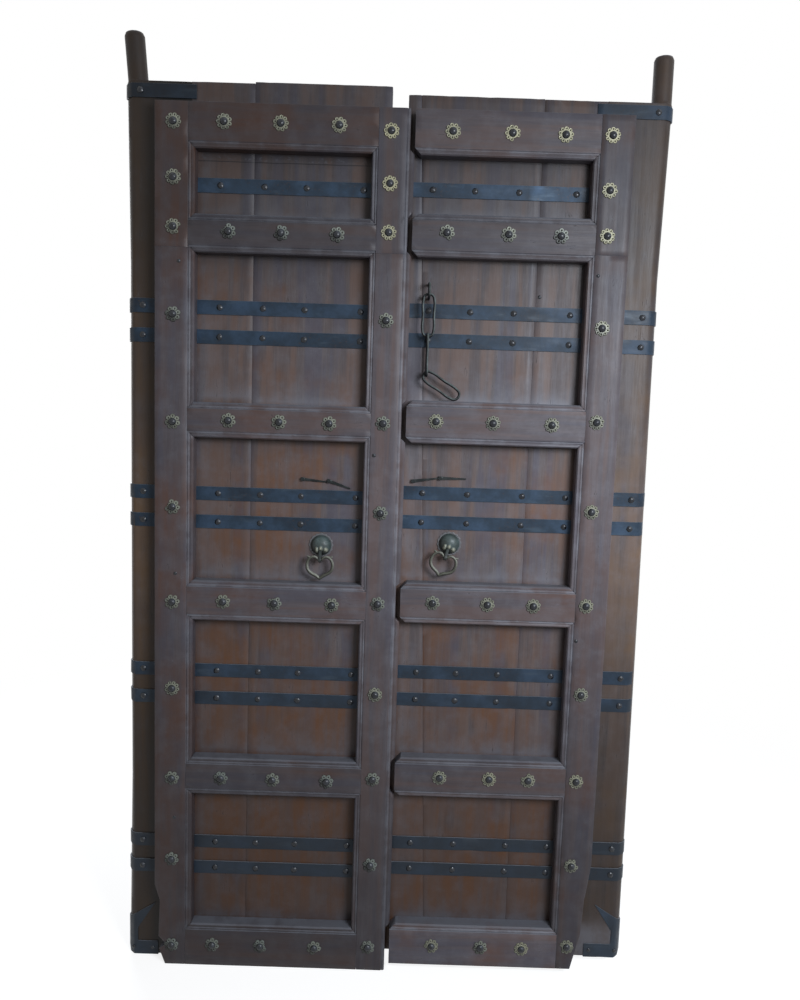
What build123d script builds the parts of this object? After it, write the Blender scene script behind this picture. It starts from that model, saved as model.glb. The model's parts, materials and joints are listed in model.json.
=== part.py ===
from build123d import *
from dataclasses import dataclass
import math
import os

os.makedirs("parts", exist_ok=True)

# A double-leaf panelled wooden door of the kind that turns on wooden pintles.
# Millimetres. X runs to the right, Y runs back through the wood, Z runs up.
# The origin is on the floor, midway across the door, at the front face of the planks.

# Posts, planks and frame
HALF_WIDTH = 598
POST_WIDTH = 144
POST_THICKNESS = 44
POST_WAIST_TOP = 1640
POST_CORNER = 14
CORNER_ROUNDING = 0.3
POST_EDGE_FACETS = 6
PLANK_THICKNESS = 30
PLANK_BEVEL = 1.2
FRAME_THICKNESS = 34
FRAME_TOP = 1980
OUTER_STILE_WIDTH = 86
TOP_RAIL_WIDTH = 95
MEETING_STILE_WIDTH = 92
MEETING_LAP = 36
RAIL_GAP = 10
RAIL_CHAMFER = 14

# Pintles
PINTLE_RADIUS = 21.5
PINTLE_TIP = 9
PINTLE_ROOT = 4
PINTLE_FLARE = 0.4
PINTLE_FLARE_HEIGHT = 6

# Moulded edges: a quirk, a bead, a second quirk and a lower bead down to the arris
MOULDING_WIDTH = 14
LAP_MOULDING_WIDTH = 18
BEAD_DEPTH = 0.9
UPPER_QUIRK_DEPTH = 2.2
LOWER_QUIRK_DEPTH = 3.4
LOWER_BEAD_DEPTH = 2.3
ARRIS_DEPTH = 5.5

# Clearances in the wood
HOUSING_CLEARANCE = 0.5
LAP_CLEARANCE = 0.5
LAP_SIDE_CLEARANCE = 6

# Iron straps
STRAP_WIDTH = 32
STRAP_THICKNESS = 3
STRAP_RETURN = 48
STRAP_END_COVER = 7
SHORT_STRAP_COVER = 20
CORNER_STRAP_WIDTH = 30
CORNER_STRAP_INSET = 6

# Iron shoes on the feet of the posts
SHOE_SHEET = 2
SHOE_CLEARANCE = 1
SHOE_STRIP = 33
SHOE_BAND = 24
SHOE_EDGE = 90
SHOE_FLAP_REACH = 68
SHOE_FLAP_RISE = 44

# Rosettes and nails
ROSETTE_RADIUS = 18.5
ROSETTE_VALLEY = 14.5
ROSETTE_RISE = 4
PETALS = 8
DOMED_HEAD_RADIUS = 8
DOMED_HEAD_CROWN = 3.5
DOMED_HEAD_HEIGHT = 7
DOMED_HEAD_SEAT = 2
ROSE_HEAD_RADIUS = 7
ROSE_HEAD_HEIGHT = 4
NAIL_SHANK = 6
NAIL_TIP = 3
SMALL_NAIL_SCALE = 0.6
POST_NAIL_INSET = 33
MEETING_ROSETTE = 15

# Pulls: a domed boss on a scalloped plate, a lug and a pointed ring
PLATE_RADIUS = 28.5
PLATE_THICKNESS = 2
PLATE_SCALLOPS = 16
PLATE_SCALLOP_RADIUS = 2.4
DOME_RADIUS = 24.5
DOME_RISE = 18
DOME_CROWN = 5
DOME_STEPS = 4
LUG_WIDTH = 7
LUG_RADIUS = 6.5
LUG_ROOT_RADIUS = 5
LUG_ROOT_DROP = 9
TANG_WIDTH = 9
RING_BAR = 2.5
RING_STEPS = 4
RING_CLEARANCE = 0.3
RING_DROP = 30
RING_STAND_OFF = 24
RING_PIN = 4.5
RING_SHOULDER = 22
RING_RISE = 5.5
RING_HALF_WIDTH = 31
RING_LENGTH = 46
RING_FLICK = 6

# Chain of three long links on a staple
CHAIN_X = 78
CHAIN_BAR = 3
LINK_LENGTH = 98
LINK_WIDTH = 30
LINK_GAP = 0.3
LINK_FACETS = 5
CHAIN_STAND_OFF = 25
STAPLE_TOP = 1618
STAPLE_HEIGHT = 35
STAPLE_REACH = 40
STAPLE_CORNER = 8
STAPLE_ROOT = 24

# Clenched spikes: a flat bar bent over on the face of the planks, headed behind
SPIKE_WIDTH = 8
SPIKE_TIP_WIDTH = 3
SPIKE_THICKNESS = 4
SPIKE_SHANK = 5
SPIKE_KNOB = 5
SPIKE_KNOB_HEIGHT = 7
SPIKE_HEAD = 16
SPIKE_HEAD_THICKNESS = 3


@dataclass(frozen=True)
class Leaf:
    """One leaf. Distances along the door are measured outwards from its middle."""

    name: str
    side: int
    foot: float
    frame_foot: float
    top: float
    waist: float
    waist_foot: float
    stile_setback: float
    planks_from: float
    plank_joints: tuple
    plank_rises: tuple
    pintle_length: float
    pintle_lean: float
    rails: tuple
    bottom_rail: float
    stile_splice: float
    stile_rosette_inset: float
    stile_rosettes: tuple
    stile_rises: tuple
    rail_rosettes: tuple
    rail_rises: tuple
    straps: tuple
    short_strap_drop: float
    nails_from_outer: tuple
    nails_from_inner: tuple
    foot_wear: tuple
    corner_strap_length: float
    stile_nails: tuple
    meeting_nails: tuple
    plank_nails: tuple
    spikes: tuple
    pull: tuple
    pull_turn: float

    def x(self, distance):
        return self.side * distance

    @property
    def stile_outer(self):
        return HALF_WIDTH - self.stile_setback

    @property
    def opening_outer(self):
        return self.stile_outer - OUTER_STILE_WIDTH

    @property
    def post_inner(self):
        return HALF_WIDTH - POST_WIDTH


# Rails are given as the height of their middle and their width, from the top down. Nails of the
# straps are given twice, for the odd and the even openings, as insets into the opening.
LEFT = Leaf(
    name="left",
    side=-1,
    foot=SHOE_SHEET,
    frame_foot=0,
    top=2032,
    waist=5.5,
    waist_foot=450,
    stile_setback=74,
    planks_from=15.5,
    plank_joints=((314.5, 314.5),),
    plank_rises=(1, 4),
    pintle_length=107,
    pintle_lean=4.8,
    rails=((1707, 82), (1301.5, 79), (890.5, 93), (471.5, 89)),
    bottom_rail=103,
    stile_splice=1675,
    stile_rosette_inset=40,
    stile_rosettes=(1822, 1531, 1104, 682, 266),
    stile_rises=(5, 11, -6, -5, -6, -2),
    rail_rosettes=(
        (375, 253, 127),
        (364, 249, 127),
        (360, 247, 135),
        (368, 251, 120),
        (370, 249, 123),
        (387, 272, 143),
    ),
    rail_rises=(7, 4, 0, -1, -3, 1),
    straps=((1552, 1487), (1134, 1069), (717.5, 651), (295, 230)),
    short_strap_drop=1.5,
    nails_from_outer=((50, 147), (50, 147)),
    nails_from_inner=((142, 17), (142, 17)),
    foot_wear=((-1, 204), (12, 161), (9, 70), (27, 50), (10, 39), (25, -1), (-1, -1)),
    corner_strap_length=156,
    stile_nails=((53, 1645), (47, 952), (46, 369)),
    meeting_nails=((33, 1234),),
    plank_nails=(),
    spikes=((-195, 1173.5, 55, -5), (-135, 1171, 52, -17)),
    pull=(150, 1022),
    pull_turn=0,
)
RIGHT = Leaf(
    name="right",
    side=1,
    foot=31,
    frame_foot=19,
    top=2019,
    waist=8,
    waist_foot=850,
    stile_setback=90,
    planks_from=20,
    plank_joints=((317, 317), (120, 48)),
    plank_rises=(0, 1, 1),
    pintle_length=104,
    pintle_lean=0,
    rails=((1717, 92), (1312, 96), (900, 94), (485, 94)),
    bottom_rail=100,
    stile_splice=1686,
    stile_rosette_inset=48,
    stile_rosettes=(1822, 1529, 1122, 697, 280),
    stile_rises=(4, 9, 11, 6, 3, 7),
    rail_rosettes=(
        (359, 245, 117),
        (360, 246, 112),
        (361, 230, 103),
        (340, 235, 110),
        (348, 257, 141),
        (352, 254, 137),
    ),
    rail_rises=(2, 6, 2, 2, 2, -2),
    straps=((1559, 1494), (1150, 1083), (729, 663), (308, 243)),
    short_strap_drop=4,
    nails_from_outer=((27, 153), (16, 115)),
    nails_from_inner=((136, 43), (146, 43)),
    foot_wear=((-1, 290), (12, 196), (17, 107), (26, 68), (38, 18), (-1, 18)),
    corner_strap_length=166,
    stile_nails=((63, 1642), (66, 824)),
    meeting_nails=(),
    plank_nails=((325, 1597),),
    spikes=((57, 1177, 56, 8), (118, 1185.5, 60, 0)),
    pull=(145, 1035),
    pull_turn=18,
)
RAIL_NAMES = ("top_rail", "frieze_rail", "upper_rail", "lock_rail", "lower_rail", "bottom_rail")

# Where the two leaves meet, rosettes sit this far above the middle of each rail
MEETING_RISES = (-1, 12, 4, 5, 6, 7)

# The lap of the meeting stile
OPENING_INNER = MEETING_STILE_WIDTH - MEETING_LAP
REBATE_DEPTH = STRAP_THICKNESS + LAP_CLEARANCE
REBATE_START = RIGHT.planks_from - LAP_SIDE_CLEARANCE


# Helpers


def plate(outline, front, back):
    """A plate with this front outline, given as (x, z), from one depth to another."""
    face = make_face(Polyline(*[(x, front, z) for x, z in outline], close=True))
    return extrude(face, amount=back - front, dir=(0, 1, 0))


def block(x_span, y_span, z_span):
    """A box between two values on each axis."""
    low = [min(span) for span in (x_span, y_span, z_span)]
    size = [abs(span[1] - span[0]) for span in (x_span, y_span, z_span)]
    return Pos(*low) * Box(*size, align=(Align.MIN, Align.MIN, Align.MIN))


def moulded_edge(edge, inward, width):
    """One moulded edge from its arris to the flat, as (place across, depth below the face)."""
    shares_and_depths = (
        (0, ARRIS_DEPTH),
        (0.2, LOWER_BEAD_DEPTH),
        (0.48, LOWER_BEAD_DEPTH),
        (0.58, LOWER_QUIRK_DEPTH),
        (0.68, BEAD_DEPTH),
        (0.88, BEAD_DEPTH),
        (0.95, UPPER_QUIRK_DEPTH),
        (1, 0),
    )
    return [(edge + inward * share * width, depth) for share, depth in shares_and_depths]


def member_section(low, low_width, high, high_width):
    """Section of a frame member between two edges, as (place across, Y). A width of 0 is plain."""
    low_edge = moulded_edge(low, 1, low_width) if low_width else [(low, 0)]
    high_edge = moulded_edge(high, -1, high_width) if high_width else [(high, 0)]
    front = [(across, depth - FRAME_THICKNESS) for across, depth in low_edge + high_edge[::-1]]
    return [(low, 0), *front, (high, 0)]


def upright(section, bottom, top):
    """A vertical member with this (x, y) section."""
    face = make_face(Polyline(*[(x, y, bottom) for x, y in section], close=True))
    return extrude(face, amount=top - bottom, dir=(0, 0, 1))


def level(section, start, end):
    """A horizontal member with this (z, y) section."""
    face = make_face(Polyline(*[(start, y, z) for z, y in section], close=True))
    return extrude(face, amount=end - start, dir=(1, 0, 0))


def faceted(rings):
    """A solid of flat facets between rings of points. The last ring may be one point."""
    sides = [Face(Wire.make_polygon(rings[0]))]
    for lower, upper in zip(rings, rings[1:]):
        for here, there in zip(range(len(lower)), [*range(1, len(lower)), 0]):
            ends = [upper[there], upper[here]] if len(upper) > 1 else upper
            sides.append(Face(Wire.make_polygon([lower[here], lower[there], *ends])))
    if len(rings[-1]) > 1:
        sides.append(Face(Wire.make_polygon(rings[-1])))
    return Solid(Shell(sides))


def ring_of_points(radius, count, rise=0):
    """Points round the Y axis, this far in front of the plane Y = 0."""
    turns = [2 * math.pi * step / count for step in range(count)]
    return [(radius * math.cos(turn), -rise, radius * math.sin(turn)) for turn in turns]


def bent_bar(points, radius):
    """An octagonal bar along a line of points, its bends mitred."""
    path = Polyline(*points)
    section = RegularPolygon(radius, 8, major_radius=False, rotation=22.5)
    return sweep(Plane(path @ 0, z_dir=path % 0) * section, path, transition=Transition.RIGHT)


def export(node, *solids):
    """Writes one node, which may hold several separate solids."""
    shape = Compound(list(solids)) if len(solids) > 1 else solids[0]
    export_step(shape, f"parts/{node}.step")


def export_leaf(leaf, node, *solids):
    export(f"{leaf.name}_{node}", *solids)


# Posts and planks


def post_edge(leaf, height):
    """Outer edge of the waisted post at a height, as a distance from the door's middle."""
    above = (height - POST_WAIST_TOP) / (leaf.top - POST_WAIST_TOP)
    below = (leaf.waist_foot - height) / (leaf.waist_foot - leaf.foot)
    return HALF_WIDTH - leaf.waist * (1 - max(above, below, 0))


def pintle(leaf):
    """The round pin left standing on the post, which may lean a little outwards."""
    tip = leaf.pintle_length
    profile = Polyline(
        (0, -PINTLE_ROOT),
        (PINTLE_RADIUS + PINTLE_FLARE, -PINTLE_ROOT),
        (PINTLE_RADIUS, PINTLE_FLARE_HEIGHT),
        (PINTLE_RADIUS, tip - PINTLE_TIP),
        (PINTLE_RADIUS - PINTLE_TIP * CORNER_ROUNDING, tip - PINTLE_TIP * CORNER_ROUNDING),
        (PINTLE_RADIUS - PINTLE_TIP, tip),
        (0, tip),
        close=True,
    )
    pin = revolve(Plane.XZ * make_face(profile), Axis.Z)
    axis_x = leaf.x(HALF_WIDTH - POST_THICKNESS / 2)
    lean = leaf.side * leaf.pintle_lean
    return Pos(axis_x, POST_THICKNESS / 2, leaf.top) * Rot(0, lean, 0) * pin


def round_edge(leaf, edge, cover=0):
    """Plan of the rounded outer edge of a post, front to back, under a cover of this thickness."""
    half_turn = math.pi / 2 / POST_EDGE_FACETS
    radius = (POST_THICKNESS / 2 + cover) / math.cos(half_turn)
    points = []
    for facet in range(POST_EDGE_FACETS):
        turn = (2 * facet + 1) * half_turn
        distance = edge - POST_THICKNESS / 2 + radius * math.sin(turn)
        points.append((leaf.x(distance), POST_THICKNESS / 2 - radius * math.cos(turn)))
    return points


def pivot_post(leaf):
    """A post that can turn in a corner: its outer edge is round about the line of the pintle."""
    edges = (
        (leaf.foot, HALF_WIDTH - POST_CORNER),
        (leaf.foot + POST_CORNER * CORNER_ROUNDING, HALF_WIDTH - POST_CORNER * CORNER_ROUNDING),
        (leaf.foot + POST_CORNER, HALF_WIDTH),
        (leaf.waist_foot, HALF_WIDTH - leaf.waist),
        (POST_WAIST_TOP, HALF_WIDTH - leaf.waist),
        (leaf.top, HALF_WIDTH),
    )
    inner = leaf.x(leaf.post_inner)
    rings = []
    for height, edge in edges:
        plan = [(inner, 0), *round_edge(leaf, edge), (inner, POST_THICKNESS)]
        rings.append([(x, y, height) for x, y in plan[:: leaf.side]])
    return faceted(rings) + pintle(leaf)


def plank(leaf, outer, inner, rise):
    """One plank. Each edge is given as its place at the foot and at the top."""
    outline = [
        (leaf.x(outer[0]), leaf.foot),
        (leaf.x(outer[1]), leaf.top + rise),
        (leaf.x(inner[1]), leaf.top + rise),
        (leaf.x(inner[0]), leaf.foot),
    ]
    board = plate(outline, 0, PLANK_THICKNESS)
    front = board.edges().filter_by_position(Axis.Y, 0, 0)
    long_edges = [edge for edge in front if edge.length > (leaf.top - leaf.foot) / 2]
    return chamfer(long_edges, PLANK_BEVEL)


def planks(leaf):
    """The planks of a leaf, from the post inwards."""
    straight_edges = ((leaf.post_inner, leaf.post_inner), (leaf.planks_from, leaf.planks_from))
    edges = [straight_edges[0], *leaf.plank_joints, straight_edges[1]]
    return [plank(leaf, *place) for place in zip(edges, edges[1:], leaf.plank_rises)]


# Stiles and rails


def rail_spans(leaf):
    """Lowest and highest point of each rail, from the top rail down."""
    middle = [(centre - width / 2, centre + width / 2) for centre, width in leaf.rails]
    top = (FRAME_TOP - TOP_RAIL_WIDTH, FRAME_TOP)
    bottom = (leaf.frame_foot, leaf.frame_foot + leaf.bottom_rail)
    return [top, *middle, bottom]


def rail_mouldings(index):
    """Width of a rail's lower and upper moulding: none along the top and foot of the leaf."""
    lower = 0 if index == len(RAIL_NAMES) - 1 else MOULDING_WIDTH
    upper = 0 if index == 0 else MOULDING_WIDTH
    return lower, upper


def rail_end(edge, shape_edge, low, high, lower, upper):
    """Points of a rail's end, from low to high, cut at 45 degrees where the rail is moulded."""
    points = [(edge, low + lower), (edge, high - upper)]
    if lower:
        points.insert(0, (shape_edge, low))
    if upper:
        points.append((shape_edge, high))
    return points


def rail_outline(leaf, index, span):
    """Front outline of a rail: mitred into the stiles, or chamfered where its end is free."""
    lower, upper = rail_mouldings(index)
    outer_flat = leaf.opening_outer + MOULDING_WIDTH
    outer_end = rail_end(outer_flat, leaf.opening_outer, *span, lower, upper)
    if leaf is LEFT:
        inner_end = rail_end(OPENING_INNER - MOULDING_WIDTH, OPENING_INNER, *span, lower, upper)
    else:
        chamfered = MEETING_LAP + RAIL_CHAMFER
        lower_chamfer = RAIL_CHAMFER if lower else 0
        upper_chamfer = RAIL_CHAMFER if upper else 0
        inner_end = rail_end(MEETING_LAP, chamfered, *span, lower_chamfer, upper_chamfer)
    return [(leaf.x(distance), height) for distance, height in outer_end + inner_end[::-1]]


def strap_housing(leaf, height):
    """The channel cut in the back of the frame for a strap to pass under it."""
    half = STRAP_WIDTH / 2 + HOUSING_CLEARANCE
    across = (leaf.x(leaf.planks_from), leaf.x(HALF_WIDTH))
    depth = (-STRAP_THICKNESS - HOUSING_CLEARANCE, PLANK_THICKNESS)
    return block(across, depth, (height - half, height + half))


def short_strap_height(leaf):
    """A little below the middle of the top opening."""
    top_rail, frieze_rail = rail_spans(leaf)[:2]
    return (top_rail[0] + frieze_rail[1]) / 2 - leaf.short_strap_drop


def strap_heights(leaf):
    return [short_strap_height(leaf), *(height for pair in leaf.straps for height in pair)]


def housings(leaf):
    return [strap_housing(leaf, height) for height in strap_heights(leaf)]


def rails(leaf):
    """The six rails of a leaf, from the top down."""
    made = []
    for index, span in enumerate(rail_spans(leaf)):
        lower, upper = rail_mouldings(index)
        section = member_section(span[0], lower, span[1], upper)
        outline = rail_outline(leaf, index, span)
        places = [x for x, _ in outline]
        bar = level(section, min(places), max(places))
        shape = plate(outline, -FRAME_THICKNESS, 0)
        made.append((bar & shape) - housings(leaf))
    return made


def rail_sockets(leaf):
    """What the mitred rail ends take out of the stiles."""
    spans = enumerate(rail_spans(leaf))
    return [plate(rail_outline(leaf, index, span), -FRAME_THICKNESS, 0) for index, span in spans]


def in_two_lengths(leaf, stile):
    """A stile is two lengths butted together: the lower one and the one at the top."""
    reach = 2 * HALF_WIDTH
    upper_end = block((-reach, reach), (-reach, reach), (leaf.stile_splice, 2 * FRAME_TOP))
    return stile - upper_end, stile & upper_end


def worn_foot(leaf):
    """The wood that has rotted and broken away from the outer edge of a stile's foot."""
    outline = [(leaf.x(leaf.stile_outer - bite), height) for bite, height in leaf.foot_wear]
    return plate(outline, -2 * FRAME_THICKNESS, PLANK_THICKNESS)


def outer_stile(leaf):
    """The stile over the pivot post, moulded along the openings."""
    edges = {leaf.x(leaf.stile_outer): 0, leaf.x(leaf.opening_outer): MOULDING_WIDTH}
    low, high = sorted(edges)
    section = member_section(low, edges[low], high, edges[high])
    stile = upright(section, leaf.frame_foot, FRAME_TOP)
    return stile - rail_sockets(leaf) - housings(leaf) - worn_foot(leaf)


def rail_end_notch(index, span):
    """The notch in the lap that clears the free end of a rail of the other leaf."""
    low, high = span
    lower, upper = (RAIL_GAP if width else 0 for width in rail_mouldings(index))
    reach = FRAME_TOP
    bottom = low if lower else low - reach
    top = high if upper else high + reach
    outline = [
        (MEETING_LAP + 1, bottom - (1 if lower else 0)),
        (MEETING_LAP - RAIL_GAP, bottom + lower),
        (MEETING_LAP - RAIL_GAP, top - upper),
        (MEETING_LAP + 1, top + (1 if upper else 0)),
    ]
    return plate(outline, -2 * FRAME_THICKNESS, PLANK_THICKNESS)


def meeting_stile():
    """The stile of the left leaf that laps over the right leaf."""
    section = member_section(-OPENING_INNER, MOULDING_WIDTH, MEETING_LAP, LAP_MOULDING_WIDTH)
    stile = upright(section, LEFT.frame_foot, FRAME_TOP)
    rebate = block(
        (REBATE_START, 2 * MEETING_LAP), (-REBATE_DEPTH, PLANK_THICKNESS), (-1, 2 * FRAME_TOP)
    )
    notches = [rail_end_notch(index, span) for index, span in enumerate(rail_spans(RIGHT))]
    return stile - rail_sockets(LEFT) - housings(LEFT) - rebate - notches


# Iron straps and shoes


def wrapped_band(leaf, post, inner_end, height, width):
    """A flat band across the leaf that turns round the post and returns on its back."""
    half = width / 2
    edge = post_edge(leaf, height)
    heights = (height - half, height + half)
    end = leaf.x(edge - STRAP_RETURN)
    back = POST_THICKNESS + STRAP_THICKNESS
    plan = [(end, -STRAP_THICKNESS), *round_edge(leaf, edge, STRAP_THICKNESS), (end, back)]
    front = block((leaf.x(inner_end), end), (-STRAP_THICKNESS, 0), heights)
    return (upright(plan, *heights) - post) + front


def long_strap(leaf, post, height):
    return wrapped_band(leaf, post, leaf.planks_from + STRAP_END_COVER, height, STRAP_WIDTH)


def short_strap(leaf):
    """The strap of the top panel, which stops under the frame at both ends."""
    ends = (leaf.planks_from + STRAP_END_COVER, leaf.opening_outer + SHORT_STRAP_COVER)
    half = STRAP_WIDTH / 2
    height = short_strap_height(leaf)
    across = (leaf.x(ends[0]), leaf.x(ends[1]))
    return block(across, (-STRAP_THICKNESS, 0), (height - half, height + half))


def corner_strap_height(leaf):
    return leaf.top - CORNER_STRAP_INSET - CORNER_STRAP_WIDTH / 2


def corner_strap(leaf, post):
    inner_end = HALF_WIDTH - leaf.corner_strap_length
    return wrapped_band(leaf, post, inner_end, corner_strap_height(leaf), CORNER_STRAP_WIDTH)


def foot_shoe(leaf, post):
    """Sheet iron folded round the foot of the post, with a torn flap up its outer edge."""
    inner = leaf.stile_outer + SHOE_CLEARANCE
    outer = HALF_WIDTH + SHOE_SHEET
    sole = leaf.foot - SHOE_SHEET
    edge_top = leaf.foot + SHOE_EDGE
    outline = [
        (inner, sole),
        (outer - POST_CORNER, sole),
        (outer - POST_CORNER * CORNER_ROUNDING, sole + POST_CORNER * CORNER_ROUNDING),
        (outer, sole + POST_CORNER),
        (outer, edge_top),
        (HALF_WIDTH - SHOE_FLAP_REACH, edge_top + SHOE_FLAP_RISE),
        (HALF_WIDTH - SHOE_BAND, edge_top - SHOE_BAND),
        (HALF_WIDTH - SHOE_BAND, leaf.foot + SHOE_STRIP),
        (inner, leaf.foot + SHOE_STRIP),
    ]
    placed = [(leaf.x(distance), height) for distance, height in outline]
    folded = plate(placed, -SHOE_SHEET, POST_THICKNESS + SHOE_SHEET)
    ends = [(leaf.x(leaf.post_inner), y) for y in (-SHOE_SHEET, POST_THICKNESS + SHOE_SHEET)]
    plan = [ends[0], *round_edge(leaf, HALF_WIDTH, SHOE_SHEET), ends[1]]
    return (folded & upright(plan, 0, leaf.waist_foot)) - post


# Rosettes and nails


def rosette():
    """An embossed star of petals that rises to its middle, on the plane Y = 0."""
    tips = ring_of_points(ROSETTE_RADIUS, 2 * PETALS)
    valleys = ring_of_points(ROSETTE_VALLEY, 2 * PETALS)
    outline = [valleys[step] if step % 2 else tips[step] for step in range(2 * PETALS)]
    return faceted([outline, [(0, -ROSETTE_RISE, 0)]])


def nail_shank(length):
    """The hidden part of a forged nail, tapered to a point behind the plane Y = 0."""
    half = NAIL_SHANK / 2
    corners = [(half, 0, -half), (-half, 0, -half), (-half, 0, half), (half, 0, half)]
    return faceted([corners, [(0, length, 0)]])


def domed_nail(length):
    foot = ring_of_points(DOMED_HEAD_RADIUS, 6)
    crown = ring_of_points(DOMED_HEAD_CROWN, 6, DOMED_HEAD_HEIGHT)
    return faceted([foot, crown]) + nail_shank(length)


def rose_nail(length):
    """A nail with a low four-sided head, as a smith strikes it."""
    corners = ring_of_points(ROSE_HEAD_RADIUS, 4)
    return faceted([corners, [(0, -ROSE_HEAD_HEIGHT, 0)]]) + nail_shank(length)


def rosette_heights(leaf, rises):
    """Heights of the rosettes beside the six rails, each near the middle of its rail."""
    return [(low + high) / 2 + rise for (low, high), rise in zip(rail_spans(leaf), rises)]


def stile_places(leaf, distance, rises):
    """Where rosettes sit on a stile: beside each rail and between the rails."""
    heights = (*rosette_heights(leaf, rises), *leaf.stile_rosettes)
    return [(leaf.x(distance), height) for height in heights]


def outer_stile_places(leaf):
    return stile_places(leaf, leaf.stile_outer - leaf.stile_rosette_inset, leaf.stile_rises)


def inner_places(leaf):
    """Rosettes that are nailed to the planks: on the rails and on the meeting stile."""
    places = []
    for height, distances in zip(rosette_heights(leaf, leaf.rail_rises), leaf.rail_rosettes):
        places += [(leaf.x(distance), height) for distance in distances]
    if leaf is LEFT:
        places += stile_places(leaf, MEETING_ROSETTE, MEETING_RISES)
    return places


def rosettes(leaf):
    places = outer_stile_places(leaf) + inner_places(leaf)
    one = rosette()
    return [Pos(x, -FRAME_THICKNESS, z) * one for x, z in places]


def rosette_nails(leaf):
    """Domed nails through the rosettes and the frame, into the post or the planks."""
    seat = -FRAME_THICKNESS - DOMED_HEAD_SEAT
    to_post = domed_nail(POST_THICKNESS + NAIL_TIP - seat)
    to_plank = domed_nail(PLANK_THICKNESS + NAIL_TIP - seat)
    on_post = [Pos(x, seat, z) * to_post for x, z in outer_stile_places(leaf)]
    on_planks = [Pos(x, seat, z) * to_plank for x, z in inner_places(leaf)]
    return on_post + on_planks


def opening_inner(leaf):
    """Where the openings of a leaf end towards the middle of the door."""
    return OPENING_INNER if leaf is LEFT else MEETING_LAP


def panel_nail_distances(leaf, opening):
    """The four nails of a strap within its opening."""
    outer = [leaf.opening_outer - inset for inset in leaf.nails_from_outer[opening % 2]]
    inner = [opening_inner(leaf) + inset for inset in leaf.nails_from_inner[opening % 2]]
    return outer + inner


def strap_nails(leaf):
    """Nails through the straps: into the planks, and through the post and out of its back."""
    seat = -STRAP_THICKNESS
    to_plank = rose_nail(PLANK_THICKNESS + NAIL_TIP - seat)
    to_post = rose_nail(POST_THICKNESS + STRAP_THICKNESS + NAIL_TIP - seat)
    made = []
    rows = [(short_strap_height(leaf), 0)]
    rows += [(height, opening) for opening, pair in enumerate(leaf.straps) for height in pair]
    for height, opening in rows:
        for distance in panel_nail_distances(leaf, opening):
            made.append(Pos(leaf.x(distance), seat, height) * to_plank)
    for height in (*strap_heights(leaf)[1:], corner_strap_height(leaf)):
        distance = post_edge(leaf, height) - POST_NAIL_INSET
        made.append(Pos(leaf.x(distance), seat, height) * to_post)
    return made


def small_nails(leaf):
    """Small nails driven into the face of the frame, the planks and the foot shoe."""
    small = scale(rose_nail(PLANK_THICKNESS), SMALL_NAIL_SCALE)
    shoe_height = leaf.foot + SHOE_STRIP / 2
    shoe_distances = (leaf.stile_outer + POST_CORNER, HALF_WIDTH - POST_CORNER)
    on_frame = [(leaf.stile_outer - inset, height) for inset, height in leaf.stile_nails]
    on_frame += leaf.meeting_nails
    made = [Pos(leaf.x(d), -FRAME_THICKNESS, z) * small for d, z in on_frame]
    made += [Pos(leaf.x(d), 0, z) * small for d, z in leaf.plank_nails]
    made += [Pos(leaf.x(d), -SHOE_SHEET, shoe_height) * small for d in shoe_distances]
    return made


# Clenched spikes


def clenched_spike(x, z, length, rise):
    """A spike headed behind the planks and bent over flat on their face."""
    outline = [
        (-SPIKE_WIDTH / 2, -SPIKE_WIDTH / 2),
        (length, -SPIKE_TIP_WIDTH / 2),
        (length, SPIKE_TIP_WIDTH / 2),
        (-SPIKE_WIDTH / 2, SPIKE_WIDTH / 2),
    ]
    bar = Rot(0, -math.degrees(math.atan2(rise, length)), 0) * plate(outline, -SPIKE_THICKNESS, 0)
    half = SPIKE_SHANK / 2
    shank = block((-half, half), (0, PLANK_THICKNESS), (-half, half))
    knob = extrude(Plane.XZ * RegularPolygon(SPIKE_KNOB, 6), amount=SPIKE_KNOB_HEIGHT)
    half = SPIKE_HEAD / 2
    behind = (PLANK_THICKNESS, PLANK_THICKNESS + SPIKE_HEAD_THICKNESS)
    head = block((-half, half), behind, (-half, half))
    return Pos(x, 0, z) * (bar + shank + knob + head)


# Pulls


def pull_place(leaf):
    """Where the pull sits: its own X and Z axes are turned with it on the face of the planks."""
    distance, height = leaf.pull
    return Pos(leaf.x(distance), 0, height) * Rot(0, leaf.pull_turn, 0)


def dome():
    """A dome with a facet for each scallop of its plate, and a flat crown."""
    rings = []
    for step in range(DOME_STEPS + 1):
        angle = math.pi / 2 * step / DOME_STEPS
        radius = DOME_RADIUS * math.cos(angle) + DOME_CROWN * math.sin(angle)
        rings.append(ring_of_points(radius, PLATE_SCALLOPS, DOME_RISE * math.sin(angle)))
    return Pos(0, -PLATE_THICKNESS, 0) * faceted(rings)


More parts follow.
